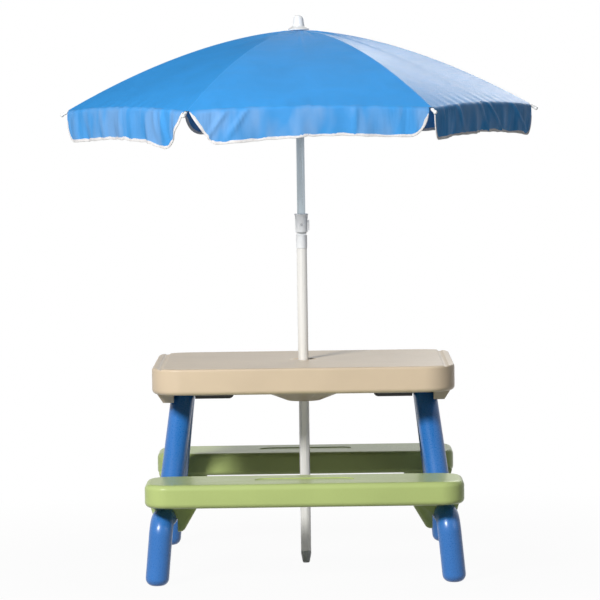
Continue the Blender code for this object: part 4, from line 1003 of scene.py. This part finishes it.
class PLAYTABLE_OT_benches(bpy.types.Operator):
    """Make the two blow-moulded benches"""

    bl_idname = "playtable.benches"
    bl_label = "Benches"

    def execute(self, context):
        sizes = settings()
        green = moulded_plastic(
            "green_moulded_plastic", sizes.colours.green,
            roughness=0.30, pebble=0.00011, wear=0.15, shine=0.15,
        )
        pattern = build_bench(sizes)
        for row, side in ROWS:
            seat = mirrored(pattern, f"{row}_seat", y=side)
            set_down(seat, f"{row}_bench_unit", green, (f"{row}_bench",))
        bpy.data.objects.remove(pattern)
        return {"FINISHED"}


# Pole and tilt joint
PLUG_SPIGOT = 0.022
BASE_SPIGOT = 0.030
PLAY = 0.0004


def pipe(name, radius, wall, low, high):
    """A tube on the pole's axis, open at both ends."""
    outline = [(radius, high), (radius, low), (radius - wall, low), (radius - wall, high)]
    return turned(name, outline, hollow=True)


def build_plug(pole):
    """The tapered end plug, with a spigot that goes up into the lower tube."""
    spigot, top = pole.lower - pole.wall - GAP, pole.plug_height + PLUG_SPIGOT
    return turned("end_plug", eased([
        (0, top), (spigot, top), (spigot, pole.plug_height), (pole.lower, pole.plug_height),
        (pole.lower, pole.plug_height * 0.75), (pole.plug_tip, pole.plug_height * 0.1),
        (pole.plug_tip * 0.85, 0), (0, 0),
    ], radius=0.0012, steps=4))


def build_joint_base(pole):
    """The joint's lower half: a collar with a spigot in the lower tube and a flat tongue on top."""
    spigot, seat = pole.lower - pole.wall - GAP, pole.base_height + GAP
    end = pole.base_height - BASE_SPIGOT
    base = turned("joint_base", eased([
        (0, pole.collar_top), (pole.collar, pole.collar_top), (pole.collar, seat), (spigot, seat),
        (spigot, end), (0, end),
    ], radius=0.0008, steps=3))
    tongue = block(
        "tongue", (-pole.tongue, -pole.tongue_half, pole.collar_top - OVERRUN),
        (pole.tongue, pole.tongue_half, pole.tilt_height),
    )
    eye = rod("eye", (0, 0, pole.tilt_height), "Y", pole.tongue, 2 * pole.tongue_half, steps=64)
    return shaped(base, [("UNION", tongue), ("UNION", eye), ("DIFFERENCE", pin_bore(pole))], soften=0.0005)


def pin_bore(pole):
    return rod("bore", (0, 0, pole.tilt_height), "Y", pole.pin + GAP, 2 * (pole.fork + OVERRUN))


def socket_low(pole):
    """Where the upper tube ends inside the fork."""
    return (pole.slot_top + pole.fork_top) / 2


def build_fork(pole):
    """The joint's upper half: a flanged fork, slotted for the tongue and bored for the upper tube."""
    top = pole.fork_top + pole.flange_height
    fork = turned("joint_fork", eased([
        (0, top), (pole.flange, top), (pole.flange, pole.fork_top), (pole.fork, pole.fork_top),
        (pole.fork, pole.fork_bottom), (0, pole.fork_bottom),
    ], radius=0.0010, steps=4))
    reach, half = pole.fork + OVERRUN, pole.tongue_half + PLAY
    slot = block("slot", (-reach, -half, pole.fork_bottom - OVERRUN), (reach, half, pole.slot_top))
    high, low = top + OVERRUN, socket_low(pole)
    socket = rod("socket", (0, 0, (high + low) / 2), "Z", pole.upper + GAP, high - low, steps=72)
    return shaped(fork, [("DIFFERENCE", cut) for cut in (slot, socket, pin_bore(pole))], soften=0.0004)


class PLAYTABLE_OT_pole(bpy.types.Operator):
    """Make the two tubes, the end plug and the tilt joint"""

    bl_idname = "playtable.pole"
    bl_label = "Pole"

    def execute(self, context):
        sizes = settings()
        pole = sizes.pole
        painted = coated_tube("painted_lower_tube", sizes.colours.lower_tube, metallic=0.15, roughness=0.30)
        coated = coated_tube("coated_upper_tube", sizes.colours.upper_tube, metallic=0.55, roughness=0.30)
        white = hard_plastic("white_fittings", sizes.colours.white)
        steel = plated_steel("zinc_pin", sizes.colours.steel)
        lower = pipe("lower_tube", pole.lower, pole.wall, pole.plug_height + GAP, pole.base_height)
        upper = pipe("upper_tube", pole.upper, pole.wall, socket_low(pole) + GAP, pole.upper_top)
        set_down(lower, "umbrella_lower_pole", painted, ("lower_pole",))
        set_down(build_plug(pole), "umbrella_lower_pole", white, ("pole_end_plug",))
        set_down(build_joint_base(pole), "umbrella_joint", white, ("tilt_joint_base",))
        set_down(build_fork(pole), "umbrella_top", white, ("tilt_joint_fork",))
        set_down(upper, "umbrella_top", coated, ("upper_pole",))
        repaint("tilt_pin", steel)
        repaint("tilt_button", white)
        return {"FINISHED"}


# Hub, runner, ribs and stretchers
HUB_SLOT_INWARD = 0.0036
HUB_SLOT_HALF = 0.0022
TOOTH_SLOT_ASIDE = 0.0039
TOOTH_SLOT_HALF = 0.0020
RIB_RADIUS = 0.0016
FINIAL_FLANGE = 0.0025
FINIAL_SPIGOT, FINIAL_SPIGOT_LENGTH = 0.0085, 0.016
FINIAL_CROWN_INWARD, FINIAL_CROWN_DROP, FINIAL_KNOB_RISE = 0.0028, 0.0075, 0.006
CAP_BORE, CAP_BORE_DEPTH = 0.0019, 0.011
CAP_SHOULDER, CAP_LIP = 0.0085, 0.0006
CAP_BALL_TURN = math.radians(132)
RIB_DIP = 0.080


def rib_angle(canopy, number):
    """A rib's direction round the pole. A number and a half is the middle of the panel after that rib."""
    return canopy.turn + (number - 1) * 2 * math.pi / RIBS


def rib_slots(canopy, ends, low, high, aside, half):
    """Six cutters, one over each rib, between two distances from the pole."""
    start, end = ends
    cutters = []
    for number in range(1, RIBS + 1):
        cutter = block("slot", (start, aside - half, low - OVERRUN), (end, aside + half, high + OVERRUN))
        cutter.data.transform(Matrix.Rotation(rib_angle(canopy, number), 4, "Z"))
        cutters.append(("DIFFERENCE", cutter))
    return cutters


def build_hub(canopy, bore):
    low, high = canopy.hub_bottom, canopy.hub_top
    hub = turned("rib_hub", eased([
        (bore, high), (canopy.hub, high), (canopy.hub, low), (bore, low),
    ], radius=0.001, steps=3), hollow=True)
    ends = (canopy.hub_pivot - HUB_SLOT_INWARD, 2 * canopy.hub)
    return shaped(hub, rib_slots(canopy, ends, low, high, 0, HUB_SLOT_HALF), soften=0.0003)


def build_runner(canopy, bore):
    """The sliding sleeve with its ring of teeth, one beside each stretcher."""
    low, high = canopy.runner_height - canopy.tooth_half, canopy.runner_height + canopy.tooth_half
    top, bottom = canopy.runner_height + canopy.sleeve_above, canopy.runner_height - canopy.sleeve_below
    sleeve = turned("runner_sleeve", eased([
        (bore, top), (canopy.sleeve, top), (canopy.sleeve, high), (canopy.tooth, high), (canopy.tooth, low),
        (canopy.sleeve, low), (canopy.sleeve, bottom), (bore, bottom),
    ], radius=0.0009, steps=3), hollow=True)
    ends = (canopy.sleeve + GAP, 2 * canopy.tooth)
    slots = rib_slots(canopy, ends, low, high, TOOTH_SLOT_ASIDE, TOOTH_SLOT_HALF)
    return shaped(sleeve, slots, soften=0.0003)


def build_finial(canopy):
    """The knob on top: a flange on the cloth, a rounded crown, and a spigot down into the upper tube."""
    top, low = canopy.finial_top, canopy.apex + GAP
    flange, end = low + FINIAL_FLANGE, low - FINIAL_SPIGOT_LENGTH
    return turned("finial_knob", eased([
        (0, top), (canopy.finial_crown - FINIAL_CROWN_INWARD, top),
        (canopy.finial_crown, top - FINIAL_CROWN_DROP), (canopy.finial_knob, flange + FINIAL_KNOB_RISE),
        (canopy.finial_flange, flange), (canopy.finial_flange, low),
        (FINIAL_SPIGOT, low), (FINIAL_SPIGOT, end), (0, end),
    ], radius=0.006, steps=7))


def build_cap(canopy):
    """The cap on a rib's end: a sleeve with a round ball, laid along the rib's slope there."""
    body, ball = canopy.cap_body, canopy.cap_ball
    middle = canopy.cap_length - ball
    outline = [(0, canopy.cap_length)]
    for step in range(1, 11):
        angle = CAP_BALL_TURN * step / 10
        outline.append((ball * math.sin(angle), middle + ball * math.cos(angle)))
    outline += [(body, CAP_SHOULDER), (body, CAP_LIP), (body - CAP_LIP, 0), (CAP_BORE, 0)]
    outline += [(CAP_BORE, CAP_BORE_DEPTH), (0, CAP_BORE_DEPTH)]
    start = Vector((canopy.cap_start, 0, rib_height(canopy, canopy.cap_start)))
    way = Vector((1, 0, seam_slope(canopy, canopy.cap_start))).normalized()
    cap = turned("cap_pattern", outline, steps=40)
    cap.data.transform(Matrix.Translation(start) @ way.to_track_quat("Z", "Y").to_matrix().to_4x4())
    return cap


class PLAYTABLE_OT_ribs(bpy.types.Operator):
    """Make the hub, runner, finial and rib caps, and finish the ribs"""

    bl_idname = "playtable.ribs"
    bl_label = "Ribs and hub"

    def execute(self, context):
        sizes = settings()
        canopy, pole = sizes.canopy, sizes.pole
        white = hard_plastic("white_umbrella_fittings", sizes.colours.white)
        steel = plated_steel("zinc_ribs", sizes.colours.steel)
        hub = build_hub(canopy, pole.upper + GAP)
        runner = build_runner(canopy, pole.upper + PLAY)
        set_down(hub, "umbrella_top", white, ("hub",))
        set_down(runner, "umbrella_runner", white, ("runner",))
        set_down(build_finial(canopy), "umbrella_top", white, ("finial",))
        cap = build_cap(canopy)
        for number in range(1, RIBS + 1):
            tip = mirrored(cap, f"rib_tip_{number}")
            tip.data.transform(Matrix.Rotation(rib_angle(canopy, number), 4, "Z"))
            set_down(tip, f"umbrella_rib_{number}", white, (f"rib_cap_{number}",))
            for kind in ("rib", "rib_rivet", "stretcher"):
                repaint(f"{kind}_{number}", steel)
        bpy.data.objects.remove(cap)
        return {"FINISHED"}


# Canopy cloth
UP = np.array((0, 0, 1.0))
SMALL = 1e-4


def fabric_height(canopy, radius):
    """The cloth's height over a rib, at a distance from the pole."""
    return canopy.apex - canopy.drop * (radius / canopy.radius) ** canopy.power


def seam_slope(canopy, radius):
    return -canopy.drop * canopy.power / canopy.radius * (radius / canopy.radius) ** (canopy.power - 1)


def path_length(points):
    """How far along a path each of its points lies."""
    return np.concatenate([[0], np.cumsum(np.linalg.norm(np.diff(points, axis=0), axis=1))])


def rib_height(canopy, radius):
    """The rib's middle: just under the cloth, and lower near the hub, where it dips to its pivot."""
    under = canopy.cloth + 2 * GAP + RIB_RADIUS
    dip = fabric_height(canopy, canopy.hub_pivot) - under - canopy.hub_pivot_height
    away = min((radius - canopy.hub_pivot) / RIB_DIP, 1)
    return fabric_height(canopy, radius) - under - dip * (1 - away) ** 2


def wave(place, spacing, phase):
    return np.sin(2 * math.pi * place / spacing + phase)


def hump(place, width):
    return np.exp(-((place / width) ** 2))


def unit(vectors):
    return vectors / np.maximum(np.linalg.norm(vectors, axis=-1, keepdims=True), 1e-12)


# How each panel's valance hangs, from the rib before it to the rib after it: the depth and spacing of its
# waves in metres, their phase, its height there as shares of the usual one, how long in metres and how round
# each corner is (1 is a straight cut, 2 a quarter circle), and for each sharp crease its place and how far
# it leans on the way down, in metres.
HANG = {
    1: {"depth": 0.0034, "spacing": 0.118, "phase": 0.3, "levels": (0.98, 1.0, 0.97, 1.02, 0.99),
        "corners": ((0.045, 2.0), (0.060, 1.5)), "creases": ((-0.08, 0.02), (0.11, -0.03))},
    2: {"depth": 0.0030, "spacing": 0.134, "phase": 1.9, "levels": (1.0, 0.97, 1.02, 0.98, 1.01),
        "corners": ((0.050, 1.8), (0.042, 2.0)), "creases": ((0.03, 0.02), (0.15, 0.04))},
    3: {"depth": 0.0033, "spacing": 0.122, "phase": 3.1, "levels": (1.01, 0.99, 0.96, 1.0, 0.98),
        "corners": ((0.055, 1.6), (0.048, 1.9)), "creases": ((-0.12, -0.03), (0.02, 0.01))},
    4: {"depth": 0.0032, "spacing": 0.126, "phase": 0.9, "levels": (1.08, 1.04, 1.04, 1.14, 1.38),
        "corners": ((0.034, 2.2), (0.100, 1.3)),
        "creases": ((-0.016, -0.004), (0.145, 0.010), (0.172, 0.012))},
    5: {"depth": 0.0024, "spacing": 0.140, "phase": 2.2, "levels": (1.10, 1.07, 0.96, 0.95, 0.95),
        "corners": ((0.062, 1.25), (0.040, 1.9)),
        "creases": ((-0.185, -0.05), (-0.14, -0.05), (0.105, 0.0))},
    6: {"depth": 0.0040, "spacing": 0.150, "phase": 4.0, "levels": (1.04, 1.0, 0.98, 0.97, 1.04),
        "corners": ((0.036, 1.9), (0.020, 2.2)),
        "creases": ((-0.15, 0.05), (-0.03, 0.06), (0.02, 0.08), (0.16, 0.09))},
}
TIES = (0.09, 0.16)


class Panel:
    """One panel of the canopy between two ribs, as a surface over w (-1 to 1 across) and t (0 to 1 down)."""

    def __init__(self, canopy, number):
        self.canopy = canopy
        self.number = number
        self.fall_shape = HANG[number]
        angle = rib_angle(canopy, number + 0.5)
        self.out = np.array((math.cos(angle), math.sin(angle), 0.0))
        self.along = np.array((-math.sin(angle), math.cos(angle), 0.0))
        self.half = math.pi / RIBS
        self.half_rim = canopy.radius * math.sin(self.half)
        self.phases = np.random.default_rng(40 + number).uniform(0, 2 * math.pi, 12)

    def at(self, out, along, up):
        return out[..., None] * self.out + along[..., None] * self.along + up[..., None] * UP

    def cloth(self, w, t):
        """The stretched cloth: sag, fold line, puckers beside the ribs and at its ties, and a bowed rim."""
        canopy, phases = self.canopy, self.phases
        w, t = np.broadcast_arrays(np.asarray(w, float), np.asarray(t, float))
        radius = canopy.hole + (canopy.radius - canopy.hole) * t
        across = w * radius * math.sin(self.half)
        bow, from_rib = 1 - w ** 2, 1 - np.abs(w)
        lift = canopy.rim_lift * t ** 4 * bow - canopy.sag * np.sin(math.pi * t) * bow
        lift = lift + canopy.crease * hump(across, 0.0035) * t ** 0.3
        pull = wave(radius, 0.071, phases[0]) + 0.6 * wave(radius, 0.043, phases[1] + 3 * w)
        lift = lift + 0.0005 * pull * bow * hump(from_rib, 0.35) * np.clip(4 * t, 0, 1)
        gather = np.sin(11 * w + phases[2]) + 0.7 * np.sin(23 * w + 60 * radius + phases[3])
        lift = lift + 0.0016 * hump(radius, 0.10) * bow * gather * np.clip((radius - 0.027) / 0.03, 0, 1)
        for tie in TIES:
            ring = hump(radius - tie - 0.004 * np.sin(self.number), 0.006) * hump(from_rib, 0.4)
            lift = lift + canopy.pucker * ring * bow * (1 + 0.5 * np.sin(5 * w + phases[8]))
        lift = lift + 0.0007 * hump(1 - t, 0.06) * bow * wave(across, 0.041, phases[4])
        return self.at(radius * math.cos(self.half), across, fabric_height(canopy, radius) + lift)

    def fall(self, across):
        """The valance's height at a place across the panel."""
        canopy, shape = self.canopy, self.fall_shape
        inward = self.half_rim - np.abs(across) - canopy.valance_start
        drawn = 1.0
        for (size, power), end in zip(shape["corners"], SIDES):
            run = np.clip(inward / (size * canopy.valance_round), 0, 1)
            drawn = np.where(across * end > 0, (1 - (1 - run) ** power) ** (1 / power), drawn)
        levels = shape["levels"]
        level = np.interp(across / self.half_rim, np.linspace(-0.85, 0.85, len(levels)), levels)
        wobble = 1 + 0.012 * wave(across, shape["spacing"] * 1.3, shape["phase"])
        return canopy.valance * level * wobble * drawn

    def hang(self, w, q):
        """The valance, from the rim at q 0 to its lower edge at q 1: waves, sharp creases and a round rim."""
        canopy, phases, shape = self.canopy, self.phases, self.fall_shape
        w, q = np.broadcast_arrays(np.asarray(w, float), np.asarray(q, float))
        across = w * self.half_rim
        drop = q * self.fall(across)
        low = np.clip(drop / canopy.valance, 0, 1.2)
        spacing = shape["spacing"]
        swing = wave(across + 0.012 * low, spacing, shape["phase"])
        swing = swing + 0.55 * wave(across - 0.02 * low, spacing * 0.53, phases[5])
        swing = swing + 0.25 * wave(across, spacing * 0.27, phases[6])
        near_rib = np.clip((1 - np.abs(w)) / 0.12, 0, 1)
        out = shape["depth"] * low ** 0.85 * swing * (0.35 + 0.65 * near_rib)
        for place, lean in shape["creases"]:
            out = out + canopy.crest * low ** 0.5 * (1.15 - low) * hump(across - place - lean * low, 0.0085)
        out = out + canopy.rim_round * (1 - np.exp(-1.7 * drop / canopy.rim_round))
        out = out + 0.0020 * np.sin(math.pi * np.clip(low, 0, 1)) - 0.004 * low
        side = 0.0035 * low * wave(across, spacing * 0.8, phases[7])
        return self.cloth(w, np.ones_like(w)) + self.at(out, side, -drop)


def beside_rib(canopy, number):
    """The panels after and before a rib, with the side of the rib that each lies on."""
    return ((Panel(canopy, number), 1), (Panel(canopy, (number - 2) % RIBS + 1), -1))


def from_edge(side, first, places, power):
    """Places across half a panel from its edge to its middle, close together at the edge."""
    steps = (1 - np.cos(np.linspace(0, math.pi / 2, places))) ** power
    return side * (first + (1 - first) * steps - 1)


def change_across(surface, w, t):
    return surface(np.clip(w + SMALL, -1, 1), t) - surface(np.clip(w - SMALL, -1, 1), t)


class Sheet:
    """Collects grids of a cloth of little thickness with both its faces, and closes its edges."""

    def __init__(self):
        self.points, self.normals, self.uvs, self.faces = [], [], [], []

    def patch(self, surface, side, w, t, half_width, down, thickness, lean=0.0):
        """Adds half of a panel beside a rib, and gives its area. Lean steadies its normals at the corners."""
        outer = surface(w, t)
        change_down = surface(w, np.clip(t + SMALL, 0, 1)) - surface(w, np.clip(t - SMALL, 0, 1))
        normal = unit(np.cross(change_down - lean * UP, change_across(surface, w, t)))
        from_rib = (1 - np.abs(w)) * half_width * side
        self.grid(outer, normal, np.dstack((from_rib, down)), thickness, side == -1)
        return patch_area(outer)

    def grid(self, outer, normal, uv, thickness, flip):
        """Adds a grid of outer points, its inner face, and a wall along each of its four edges."""
        rows, columns = outer.shape[:2]
        base, size = len(self.points), rows * columns
        for points, normals in ((outer, normal), (outer - normal * thickness, -normal)):
            self.points += [tuple(p) for p in points.reshape(-1, 3)]
            self.normals += [tuple(p) for p in normals.reshape(-1, 3)]
            self.uvs += [tuple(p) for p in uv.reshape(-1, 2)]

        def add(corners, turn):
            face = [base + layer * size + row * columns + column for row, column, layer in corners]
            self.faces.append(face[::-1] if turn else face)

        for row in range(rows - 1):
            for column in range(columns - 1):
                around = ((row, column), (row + 1, column), (row + 1, column + 1), (row, column + 1))
                for layer in (0, 1):
                    add([(*corner, layer) for corner in around], (layer == 1) != flip)
        edge = [(0, column) for column in range(columns)] + [(row, columns - 1) for row in range(1, rows)]
        edge += [(rows - 1, column) for column in range(columns - 2, -1, -1)]
        edge += [(row, 0) for row in range(rows - 2, 0, -1)]
        for first, second in zip(edge, edge[1:] + edge[:1]):
            add([(*first, 0), (*second, 0), (*second, 1), (*first, 1)], flip)

    def made(self, name):
        mesh = bpy.data.meshes.new(name)
        mesh.from_pydata(self.points, [], self.faces)
        layer = mesh.uv_layers.new(name="cloth")
        for loop in mesh.loops:
            layer.data[loop.index].uv = self.uvs[loop.vertex_index]
        mesh.shade_smooth()
        mesh.normals_split_custom_set_from_vertices(self.normals)
        return bpy.data.objects.new(name, mesh)


def patch_area(grid):
    """The area of a grid of points, each of its squares as two triangles."""
    start, across = grid[:-1, :-1], grid[1:, 1:] - grid[:-1, :-1]
    below, beside = grid[1:, :-1] - start, grid[:-1, 1:] - start
    halves = [np.linalg.norm(np.cross(edge, across), axis=2) for edge in (below, beside)]
    return float((halves[0] + halves[1]).sum() / 2)


def build_kite(canopy, number):
    """The cloth over one rib: half of the panel on each side of it, with its share of the valance."""
    sheet = Sheet()
    rows, columns, hems = 44, 26, 20
    area = 0.0
    for panel, side in beside_rib(canopy, number):
        down = np.linspace(0, 1, rows) ** 1.05
        w, t = np.meshgrid(from_edge(side, 0, columns, power=0.8), down)
        radius = canopy.hole + (canopy.radius - canopy.hole) * t
        seam = path_length(panel.cloth(np.full(rows, -1.0), down))[:, None] + 0 * w
        area += sheet.patch(panel.cloth, side, w, t, radius * math.sin(panel.half), seam, canopy.cloth)

        first = canopy.valance_start / panel.half_rim
        edge = from_edge(side, first, columns + 34, power=1.15)
        w, q = np.meshgrid(edge, np.linspace(0, 1, hems) ** 1.4)
        height = panel.hang(w, q)[..., 2]
        below = VALANCE_FROM + np.abs(height - height[0:1])
        area += sheet.patch(panel.hang, side, w, q, panel.half_rim, below, canopy.cloth, lean=1e-9)
    return sheet.made(f"canopy_cloth_{number}"), area


TAPE_REACH = (1, 0.6, 0.0, -0.10, -0.16, -0.10, 0.0, 0.6, 1)
TAPE_LIFT = (0.0005, 0.0008, 0.0008, 0.0005)
TAPE_INSET = 0.0012


def build_tape(canopy, number):
    """White tape folded over the valance's lower edge, on both sides of one rib."""
    form = bmesh.new()
    layer = form.loops.layers.uv.new("cloth")
    reach = np.array(TAPE_REACH) * canopy.tape
    lift = [*TAPE_LIFT, -canopy.cloth / 2, *(-canopy.cloth - rise for rise in TAPE_LIFT)]
    for panel, side in beside_rib(canopy, number):
        w = from_edge(side, (canopy.valance_start + TAPE_INSET) / panel.half_rim, places=64, power=1.6)
        path = panel.hang(w, np.ones_like(w))
        over = change_across(panel.hang, w, np.ones_like(w))
        over[:, 2] = 0
        outward = unit(np.cross(np.broadcast_to(-UP, over.shape), over))
        inside = unit(np.cross(outward, unit(np.gradient(path, axis=0))) * side)
        run = path_length(path)
        rings = []
        for point, into, out, far in zip(path, inside, outward, run):
            close = min(1.0, 0.25 + far / 0.02)
            rings.append([
                form.verts.new(tuple(point + into * r * close + out * h)) for r, h in zip(reach, lift)
            ])
        for index, (before, after) in enumerate(zip(rings, rings[1:])):
            for k in range(len(reach)):
                j = (k + 1) % len(reach)
                face = form.faces.new((before[k], after[k], after[j], before[j]))
                places = ((index, k), (index + 1, k), (index + 1, j), (index, j))
                for loop, (along, across) in zip(face.loops, places):
                    loop[layer].uv = (run[along], reach[across])
        form.faces.new(rings[0])
        form.faces.new(list(reversed(rings[-1])))
    return object_from(f"valance_tape_{number}", form)


class PLAYTABLE_OT_canopy(bpy.types.Operator):
    """Make the canopy's cloth and its white binding"""

    bl_idname = "playtable.canopy"
    bl_label = "Canopy"

    def execute(self, context):
        sizes = settings()
        canopy = sizes.canopy
        cloth = woven_cloth("blue_woven_cloth", sizes.colours.cloth)
        tape = binding_tape("white_binding_tape", sizes.colours.tape)
        for number in range(1, RIBS + 1):
            body = f"umbrella_rib_{number}"
            kite, area = build_kite(canopy, number)
            replaced = (f"canopy_panel_{number}",)
            set_down(kite, body, cloth, replaced, sharp=0, weighted=False)
            edge = build_tape(canopy, number)
            set_down(edge, body, tape, sharp=60, weighted=False)
            for piece in (kite, edge):
                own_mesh(piece)
        return {"FINISHED"}


# Studio
SOFTBOXES = (
    ("key_softbox", (-2.3, -4.2, 2.95), (0, 0, 0.75), (1.1, 0.8), (1.0, 0.985, 0.96)),
    ("fill_softbox", (3.4, -2.5, 1.9), (0.2, 0, 0.9), (1.6, 1.6), (0.95, 0.98, 1.0)),
    ("rim_softbox", (1.1, 3.0, 2.15), (0.25, 0, 1.20), (1.4, 1.0), (1.0, 0.99, 0.97)),
)
CARD = ((-0.25, 3.0, 1.7), (-3.2, 3.0, 4.6))
FLOOR_RADIUS = 30
FLOOR_GAP = 0.0004
ROOM_TONE = (0.96, 0.98, 1.0, 1)


def softbox(name, place, aim, size, tone, watts):
    lamp = bpy.data.lights.new(name, "AREA")
    lamp.shape = "RECTANGLE"
    lamp.size, lamp.size_y = size
    lamp.energy = watts
    lamp.color = tone
    obj = bpy.data.objects.new(name, lamp)
    obj.location = place
    obj.rotation_euler = (Vector(aim) - Vector(place)).to_track_quat("-Z", "Y").to_euler()
    bpy.context.scene.collection.objects.link(obj)


def stand_by(obj, material):
    """Adds a piece of the studio, which isn't part of the object."""
    obj.data.materials.append(material)
    bpy.context.scene.collection.objects.link(obj)


def paper_floor(tone):
    """A pale paper floor that keeps the object's shadow and fades to white away from it."""
    n = Nodes("pale_paper_floor")
    fibre = n.noise(240, 3, 0.6)
    n.finish(
        Base_Color=n.tint(tone, fibre, 0.995, 1.005), Roughness=0.9, Normal=n.bump(fibre, 0.0001, 0.3),
        Specular_IOR_Level=0.1,
    )
    place = n.add("ShaderNodeTexCoord").outputs["Object"]
    distance = n.add("ShaderNodeVectorMath", {0: place}, operation="LENGTH").outputs["Value"]
    n.white_to_sight("ShaderNodeEmission", "Material Output", n.ramp(distance, 0.96, 1, 0.6, 1.5))
    form = bmesh.new()
    bmesh.ops.create_circle(form, cap_ends=True, segments=96, radius=FLOOR_RADIUS)
    floor = object_from("studio_floor", form)
    if floor.data.polygons[0].normal.z < 0:
        floor.data.flip_normals()
    floor.location.z = -FLOOR_GAP
    stand_by(floor, n.owner)


def dark_card(low, high):
    """A black card behind on the left, met only by reflections, so that one side of the cloth stays deep."""
    form = bmesh.new()
    corners = (low, (high[0], low[1], low[2]), high, (low[0], low[1], high[2]))
    form.faces.new([form.verts.new(corner) for corner in corners])
    card = object_from("studio_card", form)
    card.visible_camera = card.visible_diffuse = card.visible_shadow = card.visible_transmission = False
    n = Nodes("black_card")
    stand_by(card, n.finish(Base_Color=(0.01, 0.01, 0.01, 1), Roughness=1.0, Specular_IOR_Level=0.0))


def room_light(strength):
    """A weak even light from all round, which the camera sees as plain white."""
    n = Nodes("studio_room", bpy.data.worlds)
    bpy.context.scene.world = n.finish(Color=ROOM_TONE, Strength=strength)
    n.white_to_sight("ShaderNodeBackground", "World Output")


def aimed_camera(studio):
    """The camera, turned by its pitch, yaw and roll."""
    lens = bpy.data.cameras.new("studio_camera")
    lens.lens = studio.lens
    lens.sensor_width = 36
    lens.clip_end = 100
    camera = bpy.data.objects.new("studio_camera", lens)
    pitch, yaw, roll = studio.pitch, studio.yaw, studio.roll
    ahead = Vector((math.sin(yaw) * math.cos(pitch), math.cos(yaw) * math.cos(pitch), -math.sin(pitch)))
    right = Vector((math.cos(yaw), -math.sin(yaw), 0))
    up = right.cross(ahead)
    x_axis = right * math.cos(roll) - up * math.sin(roll)
    y_axis = right * math.sin(roll) + up * math.cos(roll)
    turn = Matrix((x_axis, y_axis, -ahead)).transposed().to_4x4()
    place = (studio.camera_x, -studio.camera_y, studio.camera_height)
    camera.matrix_world = Matrix.Translation(place) @ turn
    bpy.context.scene.collection.objects.link(camera)
    bpy.context.scene.camera = camera


class PLAYTABLE_OT_studio(bpy.types.Operator):
    """Set the pale floor, the softboxes and the camera"""

    bl_idname = "playtable.studio"
    bl_label = "Studio"

    def execute(self, context):
        sizes = settings()
        studio = sizes.studio
        aimed_camera(studio)
        paper_floor(sizes.colours.floor)
        room_light(studio.sky)
        for box, watts in zip(SOFTBOXES, (studio.key_power, studio.fill_power, studio.rim_power)):
            softbox(*box, watts)
        dark_card(*CARD)
        context.scene.view_settings.view_transform = "Standard"
        return {"FINISHED"}


class PLAYTABLE_PT_panel(bpy.types.Panel):
    """Lists the steps that build the play table"""

    bl_idname = "PLAYTABLE_PT_panel"
    bl_label = "Play table"
    bl_space_type = "VIEW_3D"
    bl_region_type = "UI"
    bl_category = "Play table"

    def draw(self, context):
        for step in STEPS:
            self.layout.operator(step.bl_idname, text=step.bl_label)
        for name in PlayTableSettings.__annotations__:
            box = self.layout.box()
            part = getattr(context.scene.play_table, name)
            for key in part.__annotations__:
                box.prop(part, key)


STEPS = (
    PLAYTABLE_OT_studio,
    PLAYTABLE_OT_top,
    PLAYTABLE_OT_hinges,
    PLAYTABLE_OT_legs,
    PLAYTABLE_OT_benches,
    PLAYTABLE_OT_pole,
    PLAYTABLE_OT_ribs,
    PLAYTABLE_OT_canopy,
)
GROUPS = (TopSizes, BenchSizes, LegSizes, PoleSizes, CanopySizes, Colours, StudioSettings, PlayTableSettings)


def register():
    for kind in GROUPS + STEPS + (PLAYTABLE_PT_panel,):
        bpy.utils.register_class(kind)
    bpy.types.Scene.play_table = bpy.props.PointerProperty(type=PlayTableSettings)


def unregister():
    del bpy.types.Scene.play_table
    for kind in reversed(GROUPS + STEPS + (PLAYTABLE_PT_panel,)):
        bpy.utils.unregister_class(kind)


def main():
    register()
    bpy.ops.playtable.studio()
    bpy.ops.playtable.top()
    bpy.ops.playtable.hinges()
    bpy.ops.playtable.legs()
    bpy.ops.playtable.benches()
    bpy.ops.playtable.pole()
    bpy.ops.playtable.ribs()
    bpy.ops.playtable.canopy()
    bpy.context.view_layer.update()


if __name__ == "__main__":
    main()
